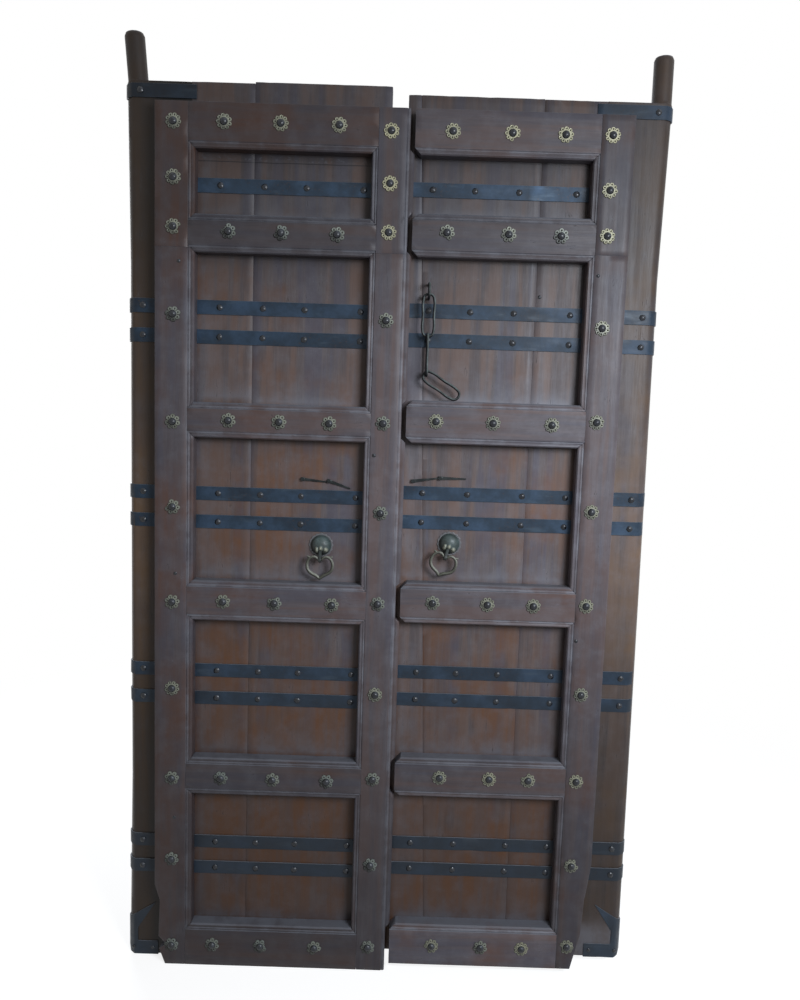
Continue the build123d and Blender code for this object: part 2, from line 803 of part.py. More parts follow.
def pull_boss():
    """A cast boss: scalloped plate, dome, tang through the plank and a lug with an eye."""
    rim = []
    for step in range(2 * PLATE_SCALLOPS):
        radius = PLATE_RADIUS - (PLATE_SCALLOP_RADIUS if step % 2 else 0)
        angle = math.pi * step / PLATE_SCALLOPS
        rim.append((radius * math.cos(angle), radius * math.sin(angle)))
    base = plate(rim, -PLATE_THICKNESS, 0)
    eye = Pos(-RING_STAND_OFF, -RING_DROP) * Circle(LUG_RADIUS)
    root = Pos(-PLATE_THICKNESS - DOME_RISE / 2, -LUG_ROOT_DROP) * Circle(LUG_ROOT_RADIUS)
    lug_side = Plane.YZ * make_hull([*eye.edges(), *root.edges()])
    lug = extrude(lug_side, amount=LUG_WIDTH / 2, both=True)
    half = TANG_WIDTH / 2
    tang = block((-half, half), (0, PLANK_THICKNESS + NAIL_TIP), (-half, half))
    bar_corner = RING_BAR / math.cos(math.pi / 8)
    hole = Cylinder(bar_corner + RING_CLEARANCE, 2 * LUG_WIDTH, rotation=(0, 90, 0))
    return base + dome() + lug + tang - Pos(0, -RING_STAND_OFF, -RING_DROP) * hole


def ring_line():
    """Points down the right half of the ring, from the end of its pin to its pointed foot."""
    shoulder = (RING_SHOULDER, RING_RISE)
    hip = (RING_SHOULDER * 0.9, -RING_LENGTH * 0.72)
    arcs = [
        ThreePointArc((RING_PIN, 0), (RING_SHOULDER * 0.6, RING_RISE * 0.85), shoulder),
        ThreePointArc(shoulder, (RING_HALF_WIDTH, -RING_LENGTH * 0.35), hip),
        ThreePointArc(hip, (RING_SHOULDER * 0.36, -RING_LENGTH * 0.86), (0, -RING_LENGTH)),
    ]
    places = [arc @ (step / RING_STEPS) for arc in arcs for step in range(RING_STEPS)]
    return [(place.X, 0, place.Y) for place in places]


def pull_ring():
    """A ring with shoulders, flicked tips and a pointed foot, about its pin in the lug."""
    right = ring_line()
    left = [(-x, y, z) for x, y, z in reversed(right)]
    ring = bent_bar([(0, 0, 0), *right, (0, 0, -RING_LENGTH), *left, (0, 0, 0)], RING_BAR)
    for side in (-1, 1):
        shoulder = (side * RING_SHOULDER, 0, RING_RISE)
        tip = (side * (RING_SHOULDER + RING_FLICK), 0, RING_RISE + RING_FLICK / 3)
        ring += bent_bar([shoulder, tip], RING_BAR * 0.8)
    return ring


# Chain


def link():
    """A long link standing in the plane Y = 0, its upper bar centred on the origin."""
    radius = LINK_WIDTH / 2 - CHAIN_BAR
    end_rise = radius * math.cos(math.pi / 2 / LINK_FACETS)
    lower_bar = 2 * CHAIN_BAR - LINK_LENGTH
    points = []
    for turn, centre in ((0, -end_rise), (math.pi, lower_bar + end_rise)):
        for step in range(LINK_FACETS + 1):
            angle = turn + math.pi * step / LINK_FACETS
            points.append((radius * math.cos(angle), 0, centre + radius * math.sin(angle)))
    middle = (radius, 0, lower_bar / 2)
    return bent_bar([middle, *points, middle], CHAIN_BAR)


def chain_staple():
    """A staple in an upright plane, its two legs driven into the planks."""
    half = STAPLE_HEIGHT / 2 - CHAIN_BAR
    front = CHAIN_BAR - STAPLE_REACH
    upper_leg = [(0, STAPLE_ROOT, half), (0, front + STAPLE_CORNER, half)]
    bridge = [(0, front, half - STAPLE_CORNER), (0, front, STAPLE_CORNER - half)]
    lower_leg = [(0, front + STAPLE_CORNER, -half), (0, STAPLE_ROOT, -half)]
    bar = bent_bar(upper_leg + bridge + lower_leg, CHAIN_BAR)
    return Pos(CHAIN_X, 0, STAPLE_TOP - STAPLE_HEIGHT / 2) * bar


def link_pivots():
    """Heights of the bars that the three links hang on, from the staple down."""
    first = STAPLE_TOP - STAPLE_HEIGHT + CHAIN_BAR
    reach = LINK_LENGTH - 4 * CHAIN_BAR - LINK_GAP
    return first, first - reach, first - 2 * reach


def chain_links():
    """The first link hangs flat, the second edge on, and the third leans on the rail below."""
    one = link()
    seat = 2 * CHAIN_BAR + LINK_GAP
    first, second, third = link_pivots()
    ledge = rail_spans(RIGHT)[2][1]
    radius = LINK_WIDTH / 2 - CHAIN_BAR
    facet = math.cos(math.pi / 2 / LINK_FACETS)
    end_reach = radius + CHAIN_BAR / facet
    reach = LINK_LENGTH - 2 * CHAIN_BAR - seat - radius * facet
    lean = math.degrees(math.acos((third - ledge - end_reach - LINK_GAP) / reach))
    hang = Pos(0, 0, seat) * one
    return (
        Pos(CHAIN_X, -CHAIN_STAND_OFF, first) * hang,
        Pos(CHAIN_X, -CHAIN_STAND_OFF, second) * Rot(0, 0, 90) * hang,
        Pos(CHAIN_X, -CHAIN_STAND_OFF, third) * Rot(0, -lean, 0) * hang,
    )


# Both leaves


def export_frame(leaf):
    for name, rail in zip(RAIL_NAMES, rails(leaf)):
        export_leaf(leaf, name, rail)
    lower, upper = in_two_lengths(leaf, outer_stile(leaf))
    export_leaf(leaf, "outer_stile", lower)
    export_leaf(leaf, "outer_stile_top", upper)


def export_ironwork(leaf, post):
    export_leaf(leaf, "short_strap", short_strap(leaf))
    for number, pair in enumerate(leaf.straps, 1):
        bands = [long_strap(leaf, post, height) for height in pair]
        export_leaf(leaf, f"straps_{number}", *bands)
    export_leaf(leaf, "corner_strap", corner_strap(leaf, post))
    export_leaf(leaf, "foot_shoe", foot_shoe(leaf, post))
    export_leaf(leaf, "clenched_spikes", *[clenched_spike(*place) for place in leaf.spikes])


def export_trim(leaf):
    export_leaf(leaf, "rosettes", *rosettes(leaf))
    export_leaf(leaf, "rosette_nails", *rosette_nails(leaf))
    export_leaf(leaf, "strap_nails", *strap_nails(leaf), *small_nails(leaf))
    export_leaf(leaf, "pull_boss", pull_place(leaf) * pull_boss())
    ring_place = pull_place(leaf) * Pos(0, -RING_STAND_OFF, -RING_DROP)
    export_leaf(leaf, "pull_ring", ring_place * pull_ring())


for leaf in (LEFT, RIGHT):
    post = pivot_post(leaf)
    export_leaf(leaf, "pivot_post", post)
    for number, board in enumerate(planks(leaf), 1):
        export_leaf(leaf, f"plank_{number}", board)
    export_frame(leaf)
    export_ironwork(leaf, post)
    export_trim(leaf)

lower, upper = in_two_lengths(LEFT, meeting_stile())
export("meeting_stile", lower)
export("meeting_stile_top", upper)
export("chain_staple", chain_staple())
for number, one_link in enumerate(chain_links(), 1):
    export(f"chain_link_{number}", one_link)
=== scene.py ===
import json
import random
from math import acos, atan2, cos, exp, pi, radians, sin, sqrt

import bmesh
import bpy
from mathutils import Matrix, Vector, noise

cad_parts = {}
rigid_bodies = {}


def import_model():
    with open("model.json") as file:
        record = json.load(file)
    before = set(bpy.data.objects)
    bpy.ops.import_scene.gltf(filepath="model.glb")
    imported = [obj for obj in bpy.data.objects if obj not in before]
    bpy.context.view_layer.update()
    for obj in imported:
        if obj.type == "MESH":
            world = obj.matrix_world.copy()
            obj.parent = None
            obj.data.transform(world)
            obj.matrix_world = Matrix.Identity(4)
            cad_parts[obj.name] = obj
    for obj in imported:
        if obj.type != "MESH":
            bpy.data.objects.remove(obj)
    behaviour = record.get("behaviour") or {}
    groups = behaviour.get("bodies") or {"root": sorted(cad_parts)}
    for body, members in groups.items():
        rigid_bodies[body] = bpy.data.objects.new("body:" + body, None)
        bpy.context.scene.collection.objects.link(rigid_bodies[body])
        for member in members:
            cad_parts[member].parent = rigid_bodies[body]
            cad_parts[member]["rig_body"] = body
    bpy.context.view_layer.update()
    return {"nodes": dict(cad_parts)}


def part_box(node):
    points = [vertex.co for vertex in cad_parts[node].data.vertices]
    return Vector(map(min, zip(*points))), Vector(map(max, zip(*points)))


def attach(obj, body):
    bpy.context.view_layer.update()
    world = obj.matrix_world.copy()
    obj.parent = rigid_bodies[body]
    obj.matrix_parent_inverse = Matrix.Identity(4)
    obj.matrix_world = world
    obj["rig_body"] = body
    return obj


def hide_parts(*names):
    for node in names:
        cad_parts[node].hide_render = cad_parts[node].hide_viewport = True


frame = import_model()

# A carved temple door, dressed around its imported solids.
# Metres. X runs to the right, Y runs back through the wood, Z runs up.

MM = 0.001

# Where the layers of the door lie, and how near two points are one
FRAME_FRONT = -34 * MM
PLANK_SKIN = 4 * MM
WELD = 0.002 * MM
CURVE_WELD = 0.005 * MM

# Colours as they look on screen. Wood: dark, middle, light, warm, flush, cool and dust.
DUST = (118, 119, 126)
POST_COLOURS = (
    (54, 47, 45), (66, 58, 55), (78, 70, 67), (84, 66, 50), (80, 66, 58), (60, 57, 62), (96, 94, 98)
)
PLANK_COLOURS = (
    (72, 64, 64), (84, 76, 76), (96, 88, 88), (102, 70, 49), (106, 85, 75), (75, 73, 84), DUST
)
FRAME_COLOURS = (
    (70, 64, 67), (78, 72, 75), (86, 80, 83), (86, 63, 54), (90, 74, 70), (70, 69, 78), DUST
)

# Bronze: dark, middle, light, worn, which is also the ring's painted highlight, and painted shade
BOSS_COLOURS = ((42, 49, 47), (62, 74, 73), (84, 99, 99), (146, 148, 132), (30, 34, 31))
RING_COLOURS = ((58, 59, 50), (76, 77, 67), (94, 95, 84), (148, 149, 138), (34, 34, 30))

# Worn wood
GRAIN_UP = (1, 1, 0.06)
GRAIN_ACROSS = (0.06, 1, 1)
CUT_STEP = 15 * MM
WOOD_BEVEL = 1.0 * MM
MOULDING_BEVEL = 0.45 * MM
SHARP_EDGE = radians(50)
FLAT_ANGLE = radians(0.6)
WOOD_WEAR = 0.3 * MM
ARRIS_WEAR = 1.3 * MM
FRAME_ARRIS_WEAR = 0.35 * MM

# Paler planks along the foot and the left side of each opening, and dust on the foot of the right post
FOOT_FILM = 0.75
FOOT_FILM_REACH = 24 * MM
SIDE_FILM = 0.6
SIDE_FILM_REACH = 18 * MM
POST_FILM = 0.95
POST_FILM_TOP = 130 * MM
POST_FILM_FADE = 0.25
POST_FILM_LIFT = 0.7

# How brown a leaf's planks are at their foot, and how much less for each metre up
PLANK_WARMTH = {"left": (0.95, 0.42), "right": (0.85, 0.48)}

# How brown each other member is, from 0 to 1, and how light
PLAIN_LOOK = (0.2, 1.0)
MEMBER_LOOKS = {
    "left_pivot_post": (0.85, 0.67),
    "left_outer_stile": (0.5, 1.06),
    "left_outer_stile_top": (0.75, 1.0),
    "left_top_rail": (0.7, 0.95),
    "left_frieze_rail": (0.0, 0.92),
    "left_upper_rail": (0.4, 1.0),
    "left_lock_rail": (0.4, 1.15),
    "left_bottom_rail": (0.5, 1.0),
    "meeting_stile": (0.2, 1.1),
    "meeting_stile_top": (0.2, 1.15),
    "right_pivot_post": (0.45, 0.94),
    "right_outer_stile": (0.35, 1.0),
    "right_top_rail": (0.3, 1.4),
    "right_frieze_rail": (0.0, 1.05),
    "right_lock_rail": (0.25, 1.0),
    "right_lower_rail": (0.2, 1.15),
    "right_bottom_rail": (0.35, 2.1),
}

# Painted light and shade: how light the wood is at each height, at the left and at the right side of the
# door, lightest at mid-height on the right and darker towards the top, the foot and the left, partly
# from dirt
LIGHT_AND_SHADE_SIDES = (-0.45, 0.45)
LIGHT_AND_SHADE_LEVELS = (
    (0.0, 0.54, 0.68),
    (0.28, 0.54, 0.68),
    (0.45, 0.64, 0.82),
    (0.65, 0.74, 1.0),
    (0.9, 0.88, 1.22),
    (1.1, 0.93, 1.42),
    (1.28, 0.92, 1.28),
    (1.5, 0.92, 1.06),
    (1.75, 0.53, 0.62),
    (2.2, 0.5, 0.58),
)

# Painted shadows of the left stile on the left post and of the right stile and the rail above on the
# planks of each opening, and painted sheen on the posts around hand height
STILE_SHADOW = 0.95
STILE_SHADOW_REACH = 22 * MM
OPENING_SHADOW = 0.62
OPENING_SHADOW_REACH = 13 * MM
SHEEN_HEIGHT = 1.02
SHEEN_REACH = 0.30
POST_SHEEN = {"left_pivot_post": 1.35, "right_pivot_post": 0.65}

# A scribed line across the planks of the top left opening
SCRIBED_RISE = 50 * MM
SCRIBED_WIDTH = 1.6 * MM

# Worn iron
STRAP_TONE = {
    "left_corner_strap": 0.4,
    "left_straps_1": 0.88,
    "right_straps_2": 1.15,
    "right_corner_strap": 0.55,
    "right_foot_shoe": 1.5,
}
PALE_PATCH = (0.29, 0.40)
PALE_PATCH_TONE = 2.0
IRON_CUT_STEP = 14 * MM
IRON_BEVEL = 0.5 * MM
IRON_WEAR = 0.45 * MM
STRAP_EDGE_WEAR = 0.8 * MM

# Rosettes
FULL_PETALS = 9
FEW_PETALS = 7
PETAL_TIP = 17.3 * MM
PETAL_HOLE = 1.1 * MM
PETAL_HOLE_SLOPE = 0.9 * MM
PETAL_GROOVE = 0.8 * MM
PETAL_HEIGHT = 2.6 * MM
ROSETTE_BASE = 0.7 * MM
ROSETTE_EYE = 4.0 * MM
ROSETTE_SINK = 1.2 * MM
ROSETTE_TURNS = 126
ROSETTE_RINGS = 14
ROSETTE_TILT = 0.04
LOST_PETAL_SHARE = 0.16
LOST_PETAL_RADIUS = 11.5 * MM
DULL_ROSETTE = 0.3

# Nails and spikes
DOMED_HEAD_HEIGHT = 7 * MM
DOMED_HEAD_SPREAD = 0.7 * MM
ROSE_HEAD_HEIGHT = 4 * MM
SMALL_HEAD_HEIGHT = 2.4 * MM
SMALL_HEAD_RADIUS = 6 * MM
HEAD_SEAT = 1 * MM
NAIL_SHANK = 6 * MM
SHANK_TAPER = 0.35
SPIKE_BEVEL = 0.6 * MM
SPIKE_CUT_STEP = 6 * MM
SPIKE_WEAR = 0.5 * MM
SPIKE_EDGE_WEAR = 0.8 * MM

# Pulls
PLATE_RADIUS = 28.4 * MM
PLATE_THICKNESS = 2 * MM
PLATE_SCALLOPS = 16
PLATE_SCALLOP_DEPTH = 1.6 * MM
PLATE_SECTION = ((0.12, -0.1 * MM), (0.5, 0.3 * MM), (0.9, 0.2 * MM), (1.0, -0.2 * MM))
PLATE_SINK = 0.4 * MM
PLATE_DUST = 0.9
BOSS_TURNS = 128
DOME_ROWS = 26
DOME_RADIUS = 23.6 * MM
DOME_RISE = 18 * MM
LUMP_RISE = 4.2 * MM
BOSS_LUMPS = (
    (-9.0 * MM, -9.5 * MM, 4.4 * MM, 8.5 * MM),
    (0.6 * MM, -5.5 * MM, 4.8 * MM, 6.2 * MM),
    (12.4 * MM, -9.0 * MM, 5.8 * MM, 6.6 * MM),
)
# Where painted shade lies under the lumps, and how dark the lug is painted as shade
BOSS_HOLLOW = (2.0 * MM, -15.5 * MM, 6.5 * MM, 7.0 * MM)
LUG_HALF_WIDTH = 3.5 * MM
LUG_RADIUS = 6.5 * MM
LUG_ROOT_RADIUS = 5 * MM
LUG_ROOT_DROP = 9 * MM
LUG_SHADE = 0.75
LUG_BEVEL = 0.8 * MM
RING_DROP = 30 * MM
RING_STAND_OFF = 24 * MM
RING_HOLE = 2.95 * MM
RING_BAR = 3.3 * MM
TANG_HALF_WIDTH = 4.5 * MM
TANG_LENGTH = 33 * MM
PULLS = {
    "left": (-150 * MM, 1022 * MM, 0.0),
    "right": (145 * MM, 1035 * MM, radians(18)),
}

# Chain
CHAIN_BAR = 3 * MM
LINK_WIDTH = 30 * MM
LINK_LENGTH = 98 * MM
LINK_LEAN = radians(57.8)
STAPLE_ROOT = 24 * MM
STAPLE_CORNER = 8 * MM

# The view of the photograph
CAMERA_PLACE = (0.0285, -1.824, 1.325)
CAMERA_DROP = radians(6.03)
CAMERA_ROLL = radians(1.85)
CAMERA_LENS = 28.8

# The room: a large soft window to the right of the camera, and a pale floor
ROOM_LIGHT = 0.17
WINDOW_PLACE = (1.2, -1.9, 1.85)
WINDOW_TARGET = (0, 0, 1.1)
WINDOW_WIDTH = 0.95
WINDOW_HEIGHT = 0.8
WINDOW_POWER = 51
WINDOW_COLOUR = (0.93, 0.99, 1.08)
BACK_PLACE = (-1.3, 2.7, 2.1)
BACK_SIZE = 1.6
BACK_POWER = 60
FLOOR_GREY = 0.35
FLOOR_SHADE = 0.4
FLOOR_GLOW = 0.8
FLOOR_FADE = (1.0, 2.6)
FLOOR_HALF_WIDTH = 30

UP = (0, 0, 1)
TO_THE_LIGHT = (0.64, -0.26, 0.72)
LEAVES = ("left", "right")
RAILS = ("top_rail", "frieze_rail", "upper_rail", "lock_rail", "lower_rail", "bottom_rail")


# Camera, light and floor


def new_object(name, data):
    """An object with this name and data, in the scene."""
    made = bpy.data.objects.new(name, data)
    bpy.context.scene.collection.objects.link(made)
    return made


def add_camera():
    camera = new_object("camera", bpy.data.cameras.new("camera"))
    camera.data.lens = CAMERA_LENS
    turn = Matrix.Rotation(pi / 2 - CAMERA_DROP, 4, "X") @ Matrix.Rotation(CAMERA_ROLL, 4, "Z")
    camera.matrix_world = Matrix.Translation(CAMERA_PLACE) @ turn
    bpy.context.scene.camera = camera
    bpy.context.scene.view_settings.view_transform = "Standard"


def add_window(name, place, width, height, power):
    """A soft rectangular lamp that the camera doesn't see."""
    light = bpy.data.lights.new(name, "AREA")
    light.shape = "RECTANGLE"
    light.size = width
    light.size_y = height
    light.energy = power
    light.color = WINDOW_COLOUR
    lamp = new_object(name, light)
    lamp.location = place
    heading = Vector(WINDOW_TARGET) - Vector(place)
    lamp.rotation_euler = heading.to_track_quat("-Z", "Y").to_euler()
    lamp.visible_camera = False


def seen_directly(tree):
    """1 for a ray from the camera or off a mirror or through glass, and 0 for the light of a room."""
    rays = tree.node("LightPath").outputs
    through = tree.math("MAXIMUM", rays["Is Glossy Ray"], rays["Is Transmission Ray"])
    return tree.math("MAXIMUM", rays["Is Camera Ray"], through)


def set_world():
    """White where it is seen, and a dim even light on the door."""
    world = bpy.data.worlds.new("room")
    bpy.context.scene.world = world
    world.use_nodes = True
    tree = NodeTree(world.node_tree)
    strength = tree.times(seen_directly(tree), 1 - ROOM_LIGHT, plus=ROOM_LIGHT)
    tree.fill(tree.nodes["Background"], Color=(1, 1, 1, 1), Strength=strength)


def add_floor():
    """A white floor that keeps the shadow of the door, and fades into the backdrop further out."""
    bm = bmesh.new()
    bmesh.ops.create_grid(bm, x_segments=1, y_segments=1, size=FLOOR_HALF_WIDTH)
    mesh = bpy.data.meshes.new("floor")
    bm.to_mesh(mesh)
    bm.free()
    new_object("floor", mesh)

    shader = Shader("floor")
    away = shader.node("VectorMath", [shader.on_object], operation="LENGTH")
    far = shader.between(away.outputs["Value"], *FLOOR_FADE)
    shown = seen_directly(shader)
    lighter = shader.times(far, -FLOOR_SHADE, plus=FLOOR_SHADE - FLOOR_GREY)
    shader.colour = shader.grey(shader.times(shown, lighter, plus=FLOOR_GREY))
    glow = shader.times(far, 1 - FLOOR_GLOW, plus=FLOOR_GLOW)
    shader.put(shader.surface.inputs["Emission Color"], (1, 1, 1, 1))
    shader.put(shader.surface.inputs["Emission Strength"], shader.times(glow, shown))
    mesh.materials.append(shader.finish(0.9, specular=0.0))


# Materials


def paint(red, green, blue):
    """A colour given as it looks on screen, as the linear colour of a shader."""
    shares = [value / 255 for value in (red, green, blue)]
    linear = [s / 12.92 if s <= 0.04045 else ((s + 0.055) / 1.055) ** 2.4 for s in shares]
    return (*linear, 1)


class NodeTree:
    """Short ways to add nodes to a tree."""

    def __init__(self, tree):
        self.nodes = tree.nodes
        self.links = tree.links

    def put(self, socket, value):
        if isinstance(value, bpy.types.NodeSocket):
            self.links.new(value, socket)
        else:
            socket.default_value = value

    def node(self, kind, values=(), **settings):
        """A new node with these settings, and these values in its first sockets."""
        node = self.nodes.new(f"ShaderNode{kind}")
        for name, setting in settings.items():
            setattr(node, name, setting)
        for socket, value in zip(node.inputs, values):
            self.put(socket, value)
        return node

    def fill(self, node, **sockets):
        """Puts values in the sockets of these names."""
        for name, value in sockets.items():
            self.put(node.inputs[name], value)

    def math(self, operation, first, second=0.0, third=0.0):
        return self.node("Math", (first, second, third), operation=operation).outputs[0]

    def times(self, first, second, plus=0.0):
        return self.math("MULTIPLY_ADD", first, second, plus)


class Shader(NodeTree):
    """A material, made of coats of colour on one surface."""

    def __init__(self, name):
        self.material = bpy.data.materials.new(name)
        self.material.use_nodes = True
        super().__init__(self.material.node_tree)
        self.surface = self.nodes["Principled BSDF"]
        texture = self.node("TexCoord").outputs
        self.on_object, self.normal = texture["Object"], texture["Normal"]
        # The place on the object is moved by the piece's own seed.
        seed = self.attribute("seed")
        shift = self.node("CombineXYZ", [self.times(seed, factor) for factor in (3.1, 1.7, 5.3)])
        ends = (self.on_object, shift.outputs[0])
        self.place = self.node("VectorMath", ends, operation="ADD").outputs[0]

    def stretched(self, factors):
        """The place on the object, drawn out along its axes."""
        return self.node("VectorMath", (self.place, factors), operation="MULTIPLY").outputs[0]

    def attribute(self, name):
        return self.node("Attribute", attribute_name=name).outputs["Fac"]

    def axis(self, name):
        """One coordinate of the place on the object."""
        return self.node("SeparateXYZ", [self.on_object]).outputs[name]

    def facing(self, heading):
        """How far the surface faces one way, from -1 to 1."""
        return self.node("VectorMath", (self.normal, heading), operation="DOT_PRODUCT").outputs["Value"]

    def noise(self, place, scale, detail=3.0, roughness=0.55, distortion=0.0):
        node = self.node("TexNoise", [place])
        self.fill(node, Scale=scale, Detail=detail, Roughness=roughness, Distortion=distortion)
        return node.outputs["Fac"]

    def between(self, value, low, high, to_low=0.0, to_high=1.0):
        """A smooth step of a value from one level to another."""
        values = (value, low, high, to_low, to_high)
        return self.node("MapRange", values, interpolation_type="SMOOTHSTEP").outputs[0]

    def line(self, value, width):
        """1 where a noise passes through its middle level, and 0 further than the width from it."""
        return self.between(self.math("ABSOLUTE", self.math("SUBTRACT", value, 0.5)), width, 0.0)

    def mix(self, factor, first, second, blend="MIX"):
        node = self.node("Mix", data_type="RGBA", blend_type=blend)
        self.fill(node, Factor=factor, A=first, B=second)
        return node.outputs["Result"]

    def ramp(self, value, *stops):
        """A colour ramp. Each stop is its position and its colour."""
        node = self.node("ValToRGB", [value])
        stripes = node.color_ramp.elements
        while len(stripes) < len(stops):
            stripes.new(1.0)
        for stripe, (position, colour) in zip(stripes, stops):
            stripe.position = position
            stripe.color = colour
        return node.outputs["Color"]

    def grey(self, value):
        """The same number on all three channels of a colour."""
        return self.node("CombineColor", [value] * 3).outputs[0]

    def coat(self, amount, colour):
        """Covers the colour with another one, fully where the amount is 1."""
        self.colour = self.mix(amount, self.colour, colour)

    def tone(self):
        """Makes the colour lighter or darker by the piece's own tone, which on the wood also carries
        painted light and shade.
        """
        self.colour = self.mix(1.0, self.colour, self.grey(self.attribute("tone")), "MULTIPLY")

    def bump(self, height, distance, strength):
        node = self.node("Bump")
        self.fill(node, Strength=strength, Distance=distance, Height=height)
        self.fill(self.surface, Normal=node.outputs[0])

    def finish(self, roughness, metallic=0.0, specular=0.5):
        self.fill(self.surface, Roughness=roughness, Metallic=metallic)
        self.put(self.surface.inputs["Base Color"], self.colour)
        self.put(self.surface.inputs["Specular IOR Level"], specular)
        return self.material


def scribed_line(shader, height, dust):
    """A dark line across the front of the left leaf's planks, with pale scuffs above it."""
    on_left = shader.math("LESS_THAN", shader.axis("X"), 0.0)
    on_front = shader.math("LESS_THAN", shader.axis("Y"), PLANK_SKIN)
    here = shader.times(on_left, on_front)
    wobble = shader.noise(shader.stretched((1, 1, 0)), 9)
    away = shader.math("SUBTRACT", shader.times(wobble, -4 * MM, plus=shader.axis("Z")), height)
    line = shader.between(shader.math("ABSOLUTE", away), SCRIBED_WIDTH, SCRIBED_WIDTH * 0.4, 0, 0.7)
    shader.coat(shader.times(line, here), paint(30, 29, 34))
    scuff = shader.between(shader.noise(shader.stretched((1, 1, 1.6)), 110), 0.56, 0.64, 0, 0.5)
    above = shader.times(shader.between(away, 1 * MM, 5 * MM), shader.between(away, 22 * MM, 10 * MM))
    shader.coat(shader.times(shader.times(scuff, above), here), dust)


def wood(name, stretch, colours, is_frame=False, scribed_height=0):
    """Old oiled hardwood: faint fibres, broad warm patches, fine cracks and a film of dust."""
    dark, middle, light, warm, flush, cool, dust = (paint(*colour) for colour in colours)
    shader = Shader(name)
    grain = shader.stretched(stretch)
    fibre = shader.noise(grain, 420, roughness=0.6)
    band = shader.noise(grain, 62, distortion=0.4)
    patch = shader.noise(shader.place, 7, detail=4)
    blotch = shader.noise(shader.place, 24, detail=4, roughness=0.6)

    streaks = shader.times(fibre, 0.4, plus=shader.times(band, 0.6))
    shader.colour = shader.ramp(streaks, (0.32, dark), (0.50, middle), (0.68, light))
    ribbon = shader.noise(grain, 26, roughness=0.6, distortion=0.3)
    shader.coat(shader.between(ribbon, 0.49, 0.62, 0.0, 0.6), flush)
    shader.coat(shader.between(ribbon, 0.49, 0.38, 0.0, 0.6), cool)
    warmth = shader.times(shader.attribute("warm"), 0.5, plus=patch)
    warm_wood = shader.mix(shader.between(band, 0.35, 0.65, 0.0, 0.45), warm, middle)
    shader.coat(shader.between(warmth, 0.60, 0.98), warm_wood)
    shader.coat(shader.between(blotch, 0.40, 0.70, 0.0, 0.16), dust)

    wear_and_highlight = shader.attribute("edge")
    # Painted highlight: the beads of the frame's mouldings are painted pale with the worn edges.
    if is_frame:
        depth = shader.math("SUBTRACT", shader.axis("Y"), FRAME_FRONT)
        rise = shader.between(depth, 0.4 * MM, 0.8 * MM)
        bead_highlight = shader.times(rise, shader.between(depth, 2.6 * MM, 2.2 * MM))
        wear_and_highlight = shader.math("MAXIMUM", wear_and_highlight, shader.times(bead_highlight, 0.9))
    shader.coat(shader.times(wear_and_highlight, shader.between(blotch, 0.38, 0.62, 0.2, 0.7)), dust)
    film = shader.between(blotch, 0.3, 0.6, 0.5, 1.0)
    shader.coat(shader.times(shader.attribute("film"), film), dust)

    vein = shader.line(shader.noise(grain, 80, detail=2, distortion=0.9), 0.008)
    crack = shader.times(vein, shader.between(blotch, 0.55, 0.66))
    shader.coat(shader.times(crack, 0.6), paint(22, 18, 18))
    knock = shader.line(shader.noise(shader.stretched((0.3, 1, 0.8)), 120, detail=2), 0.006)
    shader.coat(shader.times(knock, shader.between(blotch, 0.60, 0.68, 0.0, 0.5)), dust)
    if scribed_height:
        scribed_line(shader, scribed_height, dust)
    shader.tone()
    # Dust and painted light on the faces that look up.
    ledge = shader.between(shader.facing(UP), 0.35, 0.9)
    shader.coat(shader.times(ledge, shader.between(blotch, 0.25, 0.6, 0.55, 1.0)), paint(100, 102, 109))

    height = shader.times(fibre, 0.5, plus=shader.times(band, 0.4))
    shader.bump(shader.math("SUBTRACT", height, shader.times(crack, 0.9)), 0.5 * MM, 0.5)
    return shader.finish(shader.between(streaks, 0.35, 0.65, 0.50, 0.40), specular=0.22)


def strap_iron():
    """Flat iron with a thin blue-grey skin, worn in places, with dust and painted light on its upper
    edge.
    """
    shader = Shader("strap_iron")
    smear = shader.noise(shader.stretched((0.25, 1, 1)), 60, detail=4)
    mottle = shader.noise(shader.place, 14, detail=5, roughness=0.65)
    speck = shader.noise(shader.place, 240, detail=2)
    shader.colour = shader.ramp(
        mottle, (0.34, paint(28, 38, 49)), (0.50, paint(38, 52, 66)), (0.68, paint(52, 69, 88))
    )
    shader.coat(shader.between(smear, 0.54, 0.74, 0, 0.4), paint(72, 86, 98))
    rust = shader.times(shader.between(speck, 0.58, 0.70), shader.between(mottle, 0.52, 0.40))
    shader.coat(shader.times(rust, 0.5), paint(66, 52, 44))
    shader.coat(shader.times(shader.attribute("edge"), 0.45), paint(88, 98, 108))
    shader.coat(shader.between(shader.axis("Z"), 1.0, 0.35, 0, 0.7), paint(39, 43, 48))
    shader.tone()
    # Dust and painted light on the faces that look up.
    shader.coat(shader.between(shader.facing(UP), 0.3, 0.9, 0, 0.9), paint(112, 116, 122))
    shader.bump(shader.times(speck, 0.3, plus=mottle), 0.8 * MM, 0.5)
    return shader.finish(shader.between(smear, 0.4, 0.7, 0.50, 0.38), specular=0.2)


def nail_iron():
    """Blackened forged iron, with a painted highlight on the side of each head that faces the light."""
    shader = Shader("nail_iron")
    mottle = shader.noise(shader.place, 160)
    shader.colour = shader.ramp(
        mottle, (0.35, paint(14, 16, 20)), (0.52, paint(24, 27, 33)), (0.68, paint(40, 43, 49))
    )
    # Painted highlight on the side that faces the light.
    lit = shader.between(shader.facing(TO_THE_LIGHT), 0.3, 0.95)
    shader.coat(shader.times(lit, shader.between(mottle, 0.35, 0.65, 0.2, 0.7)), paint(84, 88, 94))
    shader.bump(mottle, 0.3 * MM, 0.4)
    return shader.finish(shader.between(mottle, 0.4, 0.65, 0.24, 0.36), specular=0.35)


